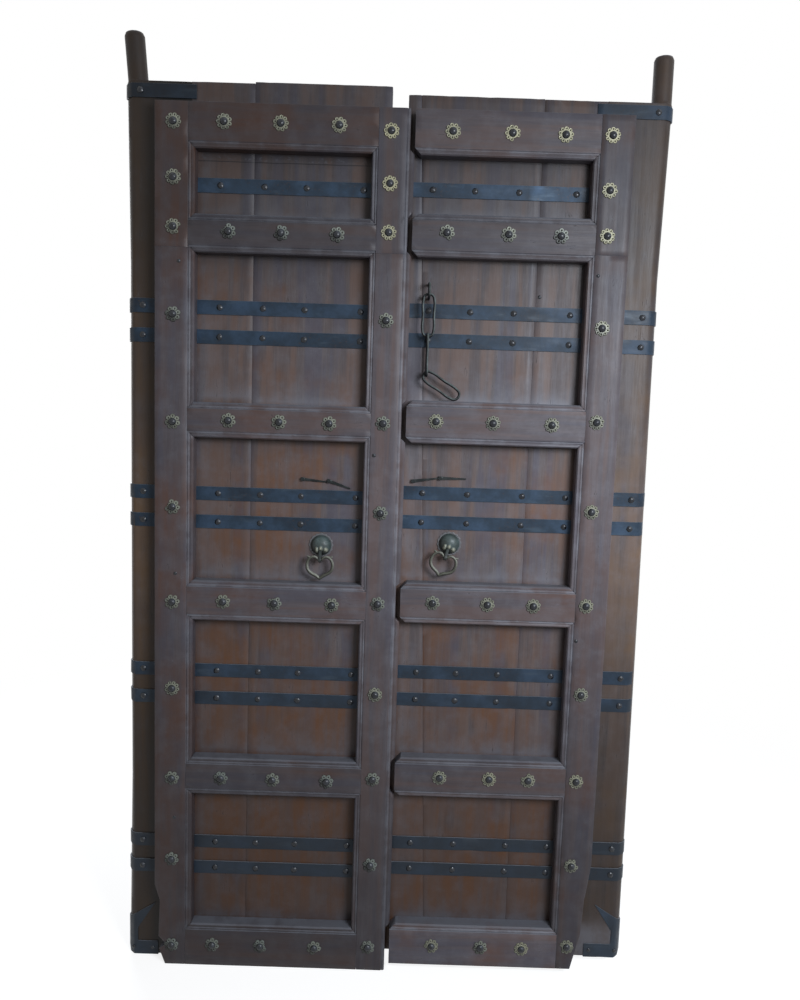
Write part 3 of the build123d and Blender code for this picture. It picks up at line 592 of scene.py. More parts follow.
def rosette_brass():
    """Stamped brass: cream where it is clean, grey-green where it is dull, with painted shade in its
    holes and on the side away from the light.
    """
    shader = Shader("rosette_brass")
    grain = shader.noise(shader.place, 300)
    cloud = shader.noise(shader.place, 90)
    raised = shader.attribute("raised")
    bright = shader.attribute("bright")
    shader.colour = shader.mix(bright, paint(66, 68, 67), paint(122, 118, 95))
    pale = shader.mix(bright, paint(118, 124, 118), paint(162, 158, 130))
    shader.coat(shader.between(raised, 0.5, 0.95), pale)
    # Painted shade in the holes and the grooves between the petals.
    shader.coat(shader.between(raised, 0.45, 0.1), paint(34, 32, 29))
    # Painted shade on the side of a dull rosette away from the light.
    shader.coat(shader.attribute("shaded_side"), paint(33, 34, 33))
    shader.coat(shader.times(shader.between(cloud, 0.50, 0.66), 0.45), paint(70, 71, 62))
    shader.bump(grain, 0.3 * MM, 0.5)
    return shader.finish(shader.between(grain, 0.4, 0.65, 0.34, 0.50), metallic=0.1, specular=0.3)


def bronze(name, colours):
    """Cast bronze with a grey-green skin that has worn pale on its high places, with painted shade on
    the side away from the light.
    """
    dark, middle, light, worn, shade_colour = (paint(*colour) for colour in colours)
    shader = Shader(name)
    cloud = shader.noise(shader.place, 34, detail=4)
    grain = shader.noise(shader.place, 210)
    shader.colour = shader.ramp(cloud, (0.36, dark), (0.52, middle), (0.68, light))
    shader.coat(shader.between(grain, 0.56, 0.70, 0, 0.35), paint(34, 38, 35))
    # Painted shade on the side that faces away from the light.
    shader.coat(shader.between(shader.facing(TO_THE_LIGHT), 0.55, -0.3, 0, 0.85), shade_colour)
    # Pale wear on the lumps of the boss, and a painted highlight on the ring's side that faces the
    # light.
    shader.coat(shader.times(shader.attribute("edge"), shader.between(grain, 0.35, 0.6, 0.6, 1.0)), worn)
    # Painted shade in the hollow under the lumps and on the lug.
    shader.coat(shader.attribute("hollow"), paint(17, 19, 17))
    shader.coat(shader.attribute("dusty"), paint(98, 97, 100))
    shader.bump(shader.times(grain, 0.4, plus=cloud), 0.6 * MM, 0.5)
    return shader.finish(shader.between(grain, 0.4, 0.65, 0.40, 0.55), metallic=0.1, specular=0.4)


def chain_iron():
    """Black hand-forged iron, painted grey-green on the sides that face up and out towards the light, as
    painted light.
    """
    shader = Shader("chain_iron")
    cloud = shader.noise(shader.place, 55, detail=4)
    grain = shader.noise(shader.place, 260, detail=2)
    shader.colour = shader.ramp(cloud, (0.38, paint(11, 12, 14)), (0.66, paint(24, 26, 29)))
    painted_light = shader.ramp(cloud, (0.38, paint(58, 64, 63)), (0.66, paint(98, 106, 104)))
    # Painted light on the sides that face the light.
    shader.coat(shader.between(shader.facing(TO_THE_LIGHT), 0.1, 0.6), painted_light)
    shader.bump(shader.times(grain, 0.5, plus=cloud), 0.6 * MM, 0.6)
    return shader.finish(shader.between(grain, 0.4, 0.65, 0.36, 0.52), specular=0.15)


# Mesh helpers


def welded(node):
    """A copy of a node's surface with its split corners joined."""
    bm = bmesh.new()
    bm.from_mesh(frame["nodes"][node].data)
    bmesh.ops.remove_doubles(bm, verts=bm.verts, dist=WELD)
    return bm


def cad_surface(node):
    """A copy of a node's surface with its flat faces whole."""
    bm = welded(node)
    bmesh.ops.dissolve_limit(bm, angle_limit=FLAT_ANGLE, verts=bm.verts, edges=bm.edges)
    return bm


def solid_boxes(node):
    """Lowest and highest corner of each separate solid of a node."""
    bm = welded(node)
    boxes = []
    waiting = set(bm.verts)
    while waiting:
        group = [waiting.pop()]
        for vert in group:
            for edge in vert.link_edges:
                other = edge.other_vert(vert)
                if other in waiting:
                    waiting.remove(other)
                    group.append(other)
        low = Vector(min(vert.co[axis] for vert in group) for axis in range(3))
        high = Vector(max(vert.co[axis] for vert in group) for axis in range(3))
        boxes.append((low, high))
    bm.free()
    return sorted(boxes, key=lambda box: (round(box[0].z, 4), round(box[0].x, 4)))


def bevel_edges(bm, offset):
    """Rounds the sharp edges a little and marks the new faces as worn."""
    edge_mark = bm.faces.layers.float.new("edge")
    sharp = [e for e in bm.edges if len(e.link_faces) == 2 and e.calc_face_angle(0) > SHARP_EDGE]
    made = bmesh.ops.bevel(
        bm, geom=sharp, offset=offset, offset_type="OFFSET", segments=1, profile=0.6,
        affect="EDGES", clamp_overlap=True,
    )
    for face in made["faces"]:
        face[edge_mark] = 1.0


def cut_along(bm, axis, step):
    """Cuts a long piece crosswise at even steps, so that its faces have points to move."""
    places = [vert.co[axis] for vert in bm.verts]
    low, high = min(places), max(places)
    count = max(1, round((high - low) / step))
    across = Vector((0, 0, 0))
    across[axis] = 1
    for number in range(1, count):
        point = across * (low + (high - low) * number / count)
        everything = bm.verts[:] + bm.edges[:] + bm.faces[:]
        bmesh.ops.bisect_plane(bm, geom=everything, plane_co=point, plane_no=across)


def wear(bm, axis, depth, arris_depth, seed, ways=(1, 1, 1)):
    """Moves each point a little into the piece along these axes, further on a knocked arris."""
    edge_mark = bm.faces.layers.float.get("edge")
    stretch = Vector((60, 60, 60))
    stretch[axis] = 14
    shift = Vector((seed * 9.1, seed * 4.7, seed * 6.3))
    bm.normal_update()
    moves = {}
    for vert in bm.verts:
        place = Vector(a * b for a, b in zip(vert.co, stretch)) + shift
        amount = depth * (0.5 + 0.5 * noise.noise(place))
        if any(face[edge_mark] > 0.5 for face in vert.link_faces):
            chip = noise.noise(vert.co * 38 + shift)
            amount += arris_depth * max(0.0, chip - 0.12) * 1.6
        moves[vert] = vert.normal * Vector(ways) * -min(amount, depth + arris_depth)
    for vert, move in moves.items():
        vert.co += move


def marks(bm, *names):
    """New layers of numbers on the points of a surface."""
    return [bm.verts.layers.float.new(name) for name in names]


def around(count):
    """Even turns, once round."""
    return [2 * pi * index / count for index in range(count)]


def polar(radius, turn, centre=(0, 0)):
    """The point at this radius and turn about a centre."""
    return centre[0] + radius * cos(turn), centre[1] + radius * sin(turn)


def cap(bm, row, crown):
    """Joins a closed row to one point, and gives the new faces."""
    return [bm.faces.new((crown, first, second)) for first, second in zip(row, row[1:] + row[:1])]


def skin(bm, rows):
    """Joins closed rows of points with four-sided faces, each row to the next."""
    for lower, upper in zip(rows, rows[1:]):
        for index in range(len(lower)):
            after = (index + 1) % len(lower)
            bm.faces.new((lower[index], lower[after], upper[after], upper[index]))


def surface_of(curve):
    """The surface of a curve, which is then removed."""
    holder = new_object("holder", curve)
    bpy.context.view_layer.update()
    made = bpy.data.meshes.new_from_object(holder)
    bm = bmesh.new()
    bm.from_mesh(made)
    bpy.data.objects.remove(holder)
    bpy.data.curves.remove(curve)
    bpy.data.meshes.remove(made)
    bmesh.ops.remove_doubles(bm, verts=bm.verts, dist=CURVE_WELD)
    return bm


def show(name, bm, material, node, sharp=34, seed=0.0):
    """Makes a piece of this surface, which rides with the node that it replaces."""
    bmesh.ops.recalc_face_normals(bm, faces=bm.faces)
    if "seed" not in bm.verts.layers.float:
        seed_layer = bm.verts.layers.float.new("seed")
        for vert in bm.verts:
            vert[seed_layer] = seed
    mesh = bpy.data.meshes.new(name)
    bm.to_mesh(mesh)
    bm.free()
    mesh.shade_smooth()
    mesh.set_sharp_from_angle(angle=radians(sharp))
    mesh.materials.append(material)
    piece = new_object(name, mesh)
    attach(piece, frame["nodes"][node]["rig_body"])
    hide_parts(node)


# Wood


def openings(leaf):
    """The openings of a leaf between its rails, as (left, right, foot, head)."""
    meeting_low, meeting_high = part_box("meeting_stile")
    stile_low, stile_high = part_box(f"{leaf}_outer_stile")
    if leaf == "left":
        left, right = stile_high.x, meeting_low.x
    else:
        left, right = meeting_high.x, stile_low.x
    spans = [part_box(f"{leaf}_{rail}") for rail in RAILS]
    return [(left, right, lower[1].z, upper[0].z) for upper, lower in zip(spans, spans[1:])]


def film_at(place, holes):
    """How much paler the planks are: most along the foot and the left side of an opening."""
    for left, right, foot, head in holes:
        if left < place.x < right and foot < place.z < head:
            by_foot = FOOT_FILM * exp((foot - place.z) / FOOT_FILM_REACH)
            by_side = SIDE_FILM * exp((left - place.x) / SIDE_FILM_REACH)
            return max(by_foot, by_side)
    return 0.0


def warmth_at(node, place):
    """How brown the wood is, from 0 to 1: the planks more so towards their foot."""
    if "_plank_" in node:
        top, fall = PLANK_WARMTH["left" if node.startswith("left") else "right"]
        return min(1.0, max(0.0, top - fall * place.z))
    return MEMBER_LOOKS.get(node, PLAIN_LOOK)[0]


def light_and_shade_at(place):
    """How light the wood is at a place, as painted light and shade."""
    left_side, right_side = LIGHT_AND_SHADE_SIDES
    share = min(1.2, max(-0.2, (place.x - left_side) / (right_side - left_side)))
    for (low, *low_tones), (high, *high_tones) in zip(LIGHT_AND_SHADE_LEVELS, LIGHT_AND_SHADE_LEVELS[1:]):
        if place.z < high:
            rise = max(0.0, (place.z - low) / (high - low))
            left, right = (a + (b - a) * rise for a, b in zip(low_tones, high_tones))
            return left + (right - left) * share
    return LIGHT_AND_SHADE_LEVELS[-1][1]


def opening_shadow_at(place, holes):
    """How much painted shadow lies on the planks against the right stile and the rail above."""
    for left, right, foot, head in holes:
        if left < place.x < right + 2 * OPENING_SHADOW_REACH and foot < place.z < head + 2 * OPENING_SHADOW_REACH:
            by_side = exp((place.x - right) / OPENING_SHADOW_REACH)
            by_head = exp((place.z - head) / OPENING_SHADOW_REACH)
            return OPENING_SHADOW * min(1.0, max(by_side, by_head))
    return 0.0


def post_tone(node, place, stile_edge):
    """Painted sheen that brightens the posts around hand height, and the painted shadow of the left
    stile on the left post.
    """
    if node not in POST_SHEEN:
        return 1.0
    painted_light = 1 + POST_SHEEN[node] * exp(-(((place.z - SHEEN_HEIGHT) / SHEEN_REACH) ** 2))
    if node != "left_pivot_post" or place.y > PLANK_SKIN:
        return painted_light
    away = max(0.0, stile_edge - place.x)
    return painted_light * (1 - STILE_SHADOW * exp(-away / STILE_SHADOW_REACH))


def post_film(node, place):
    """How much dust lies on the foot of the right post, between the bands of its shoe."""
    if node != "right_pivot_post" or place.y > PLANK_SKIN:
        return 0.0
    return POST_FILM * min(1.0, max(0.0, (1 - place.z / POST_FILM_TOP) / POST_FILM_FADE))


def worn_member(node, material, slot, number, holes):
    """A wooden member with eased edges and an uneven, knocked surface."""
    is_frame = slot == "frame_wood"
    axis = 0 if node.endswith("_rail") else 2
    rng = random.Random(number)
    seed = rng.uniform(0, 10)
    bm = cad_surface(node)
    bevel_edges(bm, MOULDING_BEVEL if is_frame else WOOD_BEVEL)
    cut_along(bm, 2, CUT_STEP)
    cut_along(bm, 0, CUT_STEP)
    if is_frame:
        wear(bm, axis, WOOD_WEAR, FRAME_ARRIS_WEAR, seed)
    else:
        wear(bm, axis, WOOD_WEAR, ARRIS_WEAR, seed, ways=(0, 1, 1))
    warm, film, tone = marks(bm, "warm", "film", "tone")
    member_tone = rng.uniform(0.96, 1.04) * MEMBER_LOOKS.get(node, PLAIN_LOOK)[1]
    stile_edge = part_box("left_outer_stile")[0].x
    for vert in bm.verts:
        seen_holes = holes if slot == "plank_wood" and vert.co.y < PLANK_SKIN else []
        vert[warm] = warmth_at(node, vert.co)
        vert[film] = film_at(vert.co, seen_holes) + post_film(node, vert.co)
        # Painted light and shade: the sheen on the posts and the shadows of the stiles and rails.
        clean = post_tone(node, vert.co, stile_edge) * (1 - opening_shadow_at(vert.co, seen_holes))
        dusted = 1 + POST_FILM_LIFT * post_film(node, vert.co)
        vert[tone] = light_and_shade_at(vert.co) * member_tone * clean * dusted
    show(f"{node}_worn", bm, material, node, seed=seed)


def dress_wood():
    low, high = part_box("left_short_strap")
    line = (low.z + high.z) / 2 + SCRIBED_RISE
    plank = wood("plank_wood", GRAIN_UP, PLANK_COLOURS, scribed_height=line)
    kinds = (
        ("_post", wood("post_wood", GRAIN_UP, POST_COLOURS), "post_wood"),
        ("_plank_", plank, "plank_wood"),
        ("stile", wood("stile_wood", GRAIN_UP, FRAME_COLOURS, is_frame=True), "frame_wood"),
        ("_rail", wood("rail_wood", GRAIN_ACROSS, FRAME_COLOURS, is_frame=True), "frame_wood"),
    )
    holes = openings("left") + openings("right")
    for number, node in enumerate(sorted(frame["nodes"]), 1):
        for kind, material, slot in kinds:
            if kind in node:
                worn_member(node, material, slot, number, holes)


# Straps and shoes


def dress_straps():
    iron = strap_iron()
    nodes = [n for n in sorted(frame["nodes"]) if ("strap" in n or "shoe" in n) and "nails" not in n]
    for number, node in enumerate(nodes, 1):
        bm = cad_surface(node)
        bevel_edges(bm, IRON_BEVEL)
        cut_along(bm, 0, IRON_CUT_STEP)
        wear(bm, 0, IRON_WEAR, STRAP_EDGE_WEAR, number * 1.3)
        tone = bm.verts.layers.float.new("tone")
        for vert in bm.verts:
            is_pale = node == "right_short_strap" and PALE_PATCH[0] < vert.co.x < PALE_PATCH[1]
            vert[tone] = PALE_PATCH_TONE if is_pale else STRAP_TONE.get(node, 1.0)
        show(f"{node}_worn", bm, iron, node, seed=number * 0.7)


# Rosettes


class Petals:
    """The round petals of one kind of rosette, which just touch each other."""

    def __init__(self, count):
        self.count = count
        self.step = 2 * pi / count
        share = sin(self.step / 2)
        self.ring = PETAL_TIP / (1 + share)
        self.radius = self.ring * share

    def off(self, turn):
        """The turn from the middle of the nearest petal."""
        return turn - round(turn / self.step) * self.step

    def edge(self, turn):
        """Radius of the scalloped outline."""
        along, across = polar(self.ring, self.off(turn))
        return along + 0.9 * sqrt(max(0.0, self.radius**2 - across**2)) + 0.1 * self.radius

    def raised(self, radius, turn):
        """1 on the sheet, and 0 in the hole of a petal and the groove between two petals."""
        off = self.off(turn)
        from_hole = (Vector(polar(radius, off)) - Vector((self.ring, 0))).length
        by_hole = (from_hole - PETAL_HOLE) / PETAL_HOLE_SLOPE
        from_groove = radius * sin(self.step / 2 - abs(off))
        by_groove = from_groove / PETAL_GROOVE if radius > self.ring - self.radius * 0.6 else 1
        return min(1.0, max(0.0, min(by_hole, 0.3 + by_groove)))


def add_rosette(bm, layers, place, rng, bright, petals):
    """One openwork rosette of round petals, turned and knocked about a little."""
    turn_by = rng.uniform(0, 2 * pi)
    tilt = Matrix.Rotation(rng.uniform(-ROSETTE_TILT, ROSETTE_TILT), 3, "X")
    lost = rng.randrange(petals.count) if rng.random() < LOST_PETAL_SHARE else None
    rows = []
    for ring in range(ROSETTE_RINGS + 1):
        share = ring / ROSETTE_RINGS
        row = []
        for turn in around(ROSETTE_TURNS):
            edge = petals.edge(turn)
            if round(turn / petals.step) % petals.count == lost:
                edge = min(edge, LOST_PETAL_RADIUS + 0.8 * MM * sin(turn * 23))
            radius = ROSETTE_EYE + (edge - ROSETTE_EYE) * share
            raised = petals.raised(radius, turn)
            height = ROSETTE_BASE + (PETAL_HEIGHT - ROSETTE_BASE) * raised
            if ring == ROSETTE_RINGS:
                height = ROSETTE_BASE
            x, z = polar(radius, turn + turn_by)
            spot = Vector((x, -height, z))
            vert = bm.verts.new(place + tilt @ spot)
            # Painted shade: a dull rosette is marked darker on the side away from the light.
            lit = spot.dot(Vector(TO_THE_LIGHT)) / PETAL_TIP
            shaded_side = (1 - bright) * min(1.0, max(0.0, 0.5 - lit))
            for layer, mark in zip(layers, (raised, bright, shaded_side, place.x * 3 + place.z)):
                vert[layer] = mark
            row.append(vert)
        rows.append(row)
    back = []
    for vert in rows[-1]:
        sunk = bm.verts.new((vert.co.x, place.y + ROSETTE_SINK, vert.co.z))
        sunk[layers[1]] = bright
        back.append(sunk)
    rows.append(back)
    skin(bm, rows)
    bm.faces.new(rows[-1])
    bm.faces.new(rows[0][::-1])


def rosette_brightness(place, rng):
    """Rosettes are cleanest at the top corners and on the right stile, and dull elsewhere."""
    if 1.69 < place.z < 1.735 and 0.05 < abs(place.x) < 0.42:
        # On the frieze rail
        level = 0.2 if place.x > 0 else 0.05
    elif place.z > 1.68:
        level = 0.9 if place.x > -0.03 else 0.5
    elif place.x > 0.1:
        level = rng.uniform(0.2, 0.55)
    elif place.z < 0.5:
        level = 0.05
    else:
        level = 0.25
    return min(1.0, max(0.0, level + rng.uniform(-0.15, 0.12)))


def dress_rosettes():
    brass = rosette_brass()
    full, few = Petals(FULL_PETALS), Petals(FEW_PETALS)
    for leaf in LEAVES:
        rng = random.Random(f"{leaf} rosettes")
        bm = bmesh.new()
        layers = marks(bm, "raised", "bright", "shaded_side", "seed")
        for low, high in solid_boxes(f"{leaf}_rosettes"):
            place = Vector(((low.x + high.x) / 2, high.y, (low.z + high.z) / 2))
            bright = rosette_brightness(place, rng)
            add_rosette(bm, layers, place, rng, bright, few if bright < DULL_ROSETTE else full)
        show(f"{leaf}_openwork_rosettes", bm, brass, f"{leaf}_rosettes", sharp=50)


# Nails and spikes


def add_head(bm, centre, profile, facets, rng, uneven):
    """A turned or hammered head, its facets a little uneven."""
    edge_layer = bm.faces.layers.float.get("edge")
    turn_by = rng.uniform(0, 2 * pi)
    swell = [1 + rng.uniform(-uneven, uneven) for _ in range(facets)]
    rows = []
    for radius, rise in profile[:-1]:
        row = []
        for turn, factor in zip(around(facets), swell):
            x, z = polar(radius * factor, turn_by + turn)
            row.append(bm.verts.new(centre + Vector((x, -rise, z))))
        rows.append(row)
    skin(bm, rows)
    crown = bm.verts.new(centre + Vector((0, -profile[-1][1], 0)))
    for face in cap(bm, rows[-1], crown):
        face[edge_layer] = 1.0
    bm.faces.new(rows[0][::-1])


def add_shank(bm, centre, seat, tip):
    """The square forged shank, down to the point that shows behind the wood."""
    half = NAIL_SHANK / 2
    corners = [(-half, -half), (half, -half), (half, half), (-half, half)]
    lower, upper = (
        [bm.verts.new((centre.x + x * share, depth, centre.z + z * share)) for x, z in corners]
        for share, depth in ((1, seat), (SHANK_TAPER, tip))
    )
    skin(bm, [lower, upper])
    bm.faces.new(lower)
    bm.faces.new(upper[::-1])


def dome_profile(radius, steps=5):
    """The domed head of a rosette's nail, as (radius, rise) from its rim to its crown."""
    radius += DOMED_HEAD_SPREAD
    profile = [(radius * 0.96, 0.0)]
    for step in range(steps):
        angle = pi / 2 * (step + 0.25) / (steps + 0.25)
        profile.append((radius * cos(angle), DOMED_HEAD_HEIGHT * sin(angle)))
    profile.append((0.0, DOMED_HEAD_HEIGHT))
    return profile


def hammered_profile(radius):
    """The flatter head of a strap's nail."""
    height = SMALL_HEAD_HEIGHT if radius < SMALL_HEAD_RADIUS else ROSE_HEAD_HEIGHT
    return [
        (radius * 0.92, 0.0), (radius, height * 0.3), (radius * 0.72, height * 0.72),
        (radius * 0.32, height * 0.97), (0.0, height),
    ]


def add_nail(bm, low, high, profile, facets, rng, uneven):
    """A nail in the box of its solid, with a head of this profile at the front."""
    centre = Vector(((low.x + high.x) / 2, low.y + profile[-1][1], (low.z + high.z) / 2))
    add_head(bm, centre, profile, facets, rng, uneven)
    add_shank(bm, centre, centre.y - HEAD_SEAT, high.y)


def dress_nails():
    iron = nail_iron()
    kinds = (
        ("rosette_nails", "domed_nails", dome_profile, 20, 0.02, 48),
        ("strap_nails", "hammered_nails", hammered_profile, 9, 0.09, 40),
    )
    for leaf in LEAVES:
        rng = random.Random(f"{leaf} nails")
        for node, name, profile_of, facets, uneven, sharp in kinds:
            bm = bmesh.new()
            bm.faces.layers.float.new("edge")
            for low, high in solid_boxes(f"{leaf}_{node}"):
                add_nail(bm, low, high, profile_of((high.x - low.x) / 2), facets, rng, uneven)
            show(f"{leaf}_{name}", bm, iron, f"{leaf}_{node}", sharp=sharp)


def dress_spikes():
    iron = chain_iron()
    for seed, leaf in enumerate(LEAVES, 3):
        node = f"{leaf}_clenched_spikes"
        bm = cad_surface(node)
        bevel_edges(bm, SPIKE_BEVEL)
        cut_along(bm, 0, SPIKE_CUT_STEP)
        wear(bm, 0, SPIKE_WEAR, SPIKE_EDGE_WEAR, seed)
        show(f"{node}_worn", bm, iron, node, seed=seed)


# Pulls


def boss_height(radius, x, z):
    """The dome over its plate, with three lumps on its lower half."""
    share = min(1.0, radius / DOME_RADIUS)
    height = PLATE_THICKNESS + (DOME_RISE - LUMP_RISE * 0.4) * sqrt(1 - share**2)
    for oval in BOSS_LUMPS:
        height += LUMP_RISE * oval_mark(x, z, oval) ** 1.3
    return height


def oval_mark(x, z, oval):
    """1 in the middle of an oval, given as its place, width and length, and 0 outside it."""
    middle_x, middle_z, width, length = oval
    return max(0.0, 1 - ((x - middle_x) / width) ** 2 - ((z - middle_z) / length) ** 2)


def boss_surface():
    """A dome on a scalloped plate, with its worn lumps, dusty plate and a hollow for painted shade
    marked.
    """
    bm = bmesh.new()
    worn, dusty, hollow = marks(bm, "edge", "dusty", "hollow")
    rows = []
    for step in range(1, DOME_ROWS + 1):
        radius = DOME_RADIUS * sin(pi / 2 * step / DOME_ROWS)
        row = []
        for turn in around(BOSS_TURNS):
            x, z = polar(radius, turn)
            vert = bm.verts.new((x, -boss_height(radius, x, z), z))
            vert[worn] = min(1.0, 1.8 * max(oval_mark(x, z, oval) for oval in BOSS_LUMPS))
            vert[hollow] = min(1.0, 2.0 * oval_mark(x, z, BOSS_HOLLOW))
            row.append(vert)
        rows.append(row)
    for share, rise in PLATE_SECTION:
        row = []
        for turn in around(BOSS_TURNS):
            rim = PLATE_RADIUS - PLATE_SCALLOP_DEPTH * (0.5 - 0.5 * cos(turn * PLATE_SCALLOPS))
            radius = DOME_RADIUS + (rim - DOME_RADIUS) * share
            x, z = polar(radius, turn)
            vert = bm.verts.new((x, -PLATE_THICKNESS - rise, z))
            vert[dusty] = PLATE_DUST
            row.append(vert)
        rows.append(row)
    rows.append([bm.verts.new((vert.co.x, PLATE_SINK, vert.co.z)) for vert in rows[-1]])
    crown = bm.verts.new((0, -boss_height(0, 0, 0), 0))
    cap(bm, rows[0], crown)
    skin(bm, rows)
    bm.faces.new(rows[-1][::-1])
    return bm


def hull_points(first, first_radius, second, second_radius, steps=14):
    """Outline of two circles of different size and the straight lines that join them."""
    between = Vector(second) - Vector(first)
    heading = atan2(between.y, between.x)
    spread = acos((first_radius - second_radius) / between.length)
    points = []
    for centre, radius, start, end in (
        (first, first_radius, heading + spread, heading + 2 * pi - spread),
        (second, second_radius, heading - spread, heading + spread),
    ):
        for step in range(steps + 1):
            turn = start + (end - start) * step / steps
            points.append(polar(radius, turn, centre))
    return points


def upright_plate(outlines):
    """A flat plate with holes, standing in the YZ plane, its edges rounded."""
    curve = bpy.data.curves.new("outline", "CURVE")
    curve.dimensions = "2D"
    curve.fill_mode = "BOTH"
    curve.extrude = LUG_HALF_WIDTH - LUG_BEVEL
    curve.bevel_depth = LUG_BEVEL
    curve.bevel_resolution = 1
    curve.offset = -LUG_BEVEL
    for points in outlines:
        spline = curve.splines.new("POLY")
        spline.points.add(len(points) - 1)
        for point, (across, up) in zip(spline.points, points):
            point.co = (across, up, 0, 1)
        spline.use_cyclic_u = True
    bm = surface_of(curve)
    stand = Matrix(((0, 0, 1, 0), (1, 0, 0, 0), (0, 1, 0, 0), (0, 0, 0, 1)))
    bmesh.ops.transform(bm, matrix=stand, verts=bm.verts)
    return bm


def append_surface(bm, other):
    """Adds one surface to another and frees it."""
    mesh = bpy.data.meshes.new("part")
    other.to_mesh(mesh)
    other.free()
    bm.from_mesh(mesh)
    bpy.data.meshes.remove(mesh)


def lug_surface():
    eye = (-RING_STAND_OFF, -RING_DROP)
    root = (-PLATE_THICKNESS - DOME_RISE / 2, -LUG_ROOT_DROP)
    outline = hull_points(eye, LUG_RADIUS, root, LUG_ROOT_RADIUS)
    hole = [polar(RING_HOLE, turn, eye) for turn in around(20)]
    return upright_plate([outline, hole])


def tang_surface():
    bm = bmesh.new()
    bmesh.ops.create_cube(bm, size=1)
    size = (2 * TANG_HALF_WIDTH, TANG_LENGTH + 1 * MM, 2 * TANG_HALF_WIDTH)
    bmesh.ops.scale(bm, vec=size, verts=bm.verts)
    bmesh.ops.translate(bm, vec=(0, TANG_LENGTH / 2 - 0.5 * MM, 0), verts=bm.verts)
    bmesh.ops.bevel(bm, geom=bm.edges[:], offset=1 * MM, segments=1, affect="EDGES")
    return bm


def sweep_curve(points, radii, bar, cyclic, resolution=4, vectors=()):
    """A round bar along a smooth line. Points named in vectors stay sharp."""
    curve = bpy.data.curves.new("bar", "CURVE")
    curve.dimensions = "3D"
    curve.bevel_depth = bar
    curve.bevel_resolution = 3
    curve.resolution_u = resolution
    curve.use_fill_caps = True
    spline = curve.splines.new("BEZIER")
    spline.bezier_points.add(len(points) - 1)
    for index, (knot, point, radius) in enumerate(zip(spline.bezier_points, points, radii)):
        knot.co = point
        knot.radius = radius
        knot.handle_left_type = knot.handle_right_type = "VECTOR" if index in vectors else "AUTO"
    spline.use_cyclic_u = cyclic
    return surface_of(curve)


def ring_surface():
    """The ring about its pin: shoulders with flicked tips, swelling flanks and a pointed foot."""
    half = [
        (3.8, 0.0, 0.84), (6.6, 3.2, 0.9), (11.0, 6.0, 0.95), (17.0, 6.0, 1.0), (23.6, 2.2, 1.05),
        (28.2, -6.0, 1.05), (29.0, -16.0, 1.1), (25.6, -25.6, 1.15), (17.4, -32.4, 1.2),
        (7.4, -37.6, 1.15),
    ]
    right = [(x * MM, z * MM, radius) for x, z, radius in half]
    left = [(-x, z, radius) for x, z, radius in reversed(right)]
    line = [*right, (0.0, -43.6 * MM, 1.0), *left]
    points = [(x, 0, z) for x, z, _ in line]
    radii = [radius for _, _, radius in line]
    bm = sweep_curve(points, radii, RING_BAR, True, vectors=(0, len(right), len(line) - 1))
    for side in (-1, 1):
        tip = [(side * x * MM, 0, z * MM) for x, z in ((20, 4.4), (25, 5.6), (29, 7.6))]
        append_surface(bm, sweep_curve(tip, (0.95, 0.85, 0.5), RING_BAR, False))
    # Painted highlight: the side of the ring that faces the light is marked to be painted pale.
    worn = bm.verts.layers.float.new("edge")
    bm.normal_update()
    for vert in bm.verts:
        lit = vert.normal.dot(Vector(TO_THE_LIGHT))
        vert[worn] = max(0.0, min(1.0, (lit - 0.35) * 1.6))
    return bm


def dress_pulls():
    boss_metal = bronze("boss_bronze", BOSS_COLOURS)
    ring_metal = bronze("ring_bronze", RING_COLOURS)
    for seed, (leaf, (x, z, turn)) in enumerate(PULLS.items()):
        matrix = Matrix.Translation((x, 0, z)) @ Matrix.Rotation(turn, 4, "Y")
        boss = boss_surface()
        lug = lug_surface()
        # Painted shade: the whole lug is marked dark.
        hollow = lug.verts.layers.float.new("hollow")
        for vert in lug.verts:
            vert[hollow] = LUG_SHADE
        append_surface(boss, lug)
        append_surface(boss, tang_surface())
        bmesh.ops.transform(boss, matrix=matrix, verts=boss.verts)
        node = f"{leaf}_pull_boss"
        show(f"{leaf}_lobed_boss", boss, boss_metal, node, sharp=50, seed=seed)
        ring = ring_surface()
        drop = Matrix.Translation((0, -RING_STAND_OFF, -RING_DROP))
        bmesh.ops.transform(ring, matrix=matrix @ drop, verts=ring.verts)
        node = f"{leaf}_pull_ring"
        show(f"{leaf}_forged_ring", ring, ring_metal, node, sharp=60, seed=seed)


# Chain


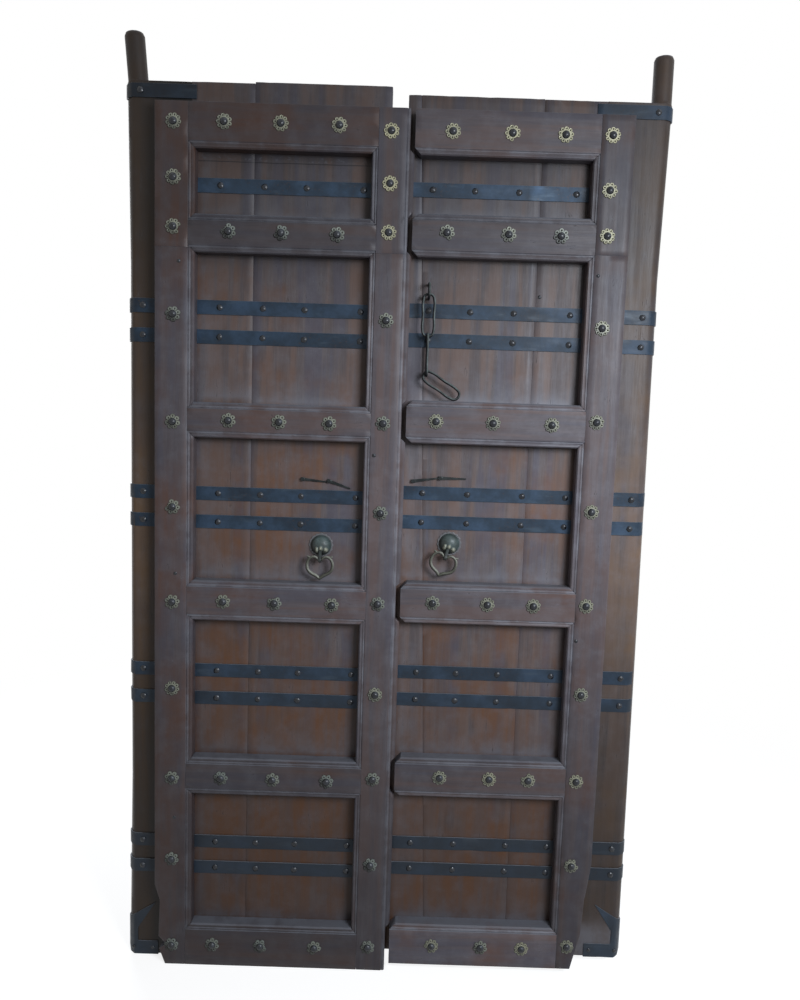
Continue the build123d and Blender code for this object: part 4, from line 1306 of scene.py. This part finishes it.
def link_surface():
    """A long link with round ends, standing in the plane Y = 0 about its middle."""
    reach = LINK_WIDTH / 2 - CHAIN_BAR
    end = LINK_LENGTH / 2 - CHAIN_BAR
    bend = reach * 0.92
    half = [
        (reach, 0.0), (reach, end - bend), (reach * 0.72, end - bend * 0.28), (0.0, end),
        (-reach * 0.72, end - bend * 0.28), (-reach, end - bend),
    ]
    places = [(way * x, 0, way * z) for way in (1, -1) for x, z in half]
    return sweep_curve(places, [1.0] * len(places), CHAIN_BAR, True, resolution=5)


def dress_chain():
    iron = chain_iron()
    quarter, lean = Matrix.Rotation(pi / 2, 4, "Z"), Matrix.Rotation(-LINK_LEAN, 4, "Y")
    for number, turn in enumerate((Matrix.Identity(4), quarter, lean), 1):
        node = f"chain_link_{number}"
        low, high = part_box(node)
        bm = link_surface()
        bmesh.ops.transform(bm, matrix=turn, verts=bm.verts)
        bmesh.ops.translate(bm, vec=(low + high) / 2, verts=bm.verts)
        show(f"{node}_forged", bm, iron, node, sharp=60, seed=number)

    low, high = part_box("chain_staple")
    x = (low.x + high.x) / 2
    front = low.y + CHAIN_BAR
    bottom = low.z + CHAIN_BAR
    top = high.z - CHAIN_BAR
    bend = STAPLE_CORNER * 0.25
    line = [
        (x, STAPLE_ROOT, top), (x, front + STAPLE_CORNER, top), (x, front + bend, top - bend),
        (x, front, top - STAPLE_CORNER), (x, front, bottom + STAPLE_CORNER),
        (x, front + bend, bottom + bend), (x, front + STAPLE_CORNER, bottom), (x, STAPLE_ROOT, bottom),
    ]
    bm = sweep_curve(line, [1.0] * len(line), CHAIN_BAR, False, resolution=5)
    show("chain_staple_forged", bm, iron, "chain_staple", sharp=60, seed=4)


add_camera()
set_world()
add_window("window", WINDOW_PLACE, WINDOW_WIDTH, WINDOW_HEIGHT, WINDOW_POWER)
add_window("back_window", BACK_PLACE, BACK_SIZE, BACK_SIZE, BACK_POWER)
add_floor()
dress_wood()
dress_straps()
dress_rosettes()
dress_nails()
dress_spikes()
dress_pulls()
dress_chain()
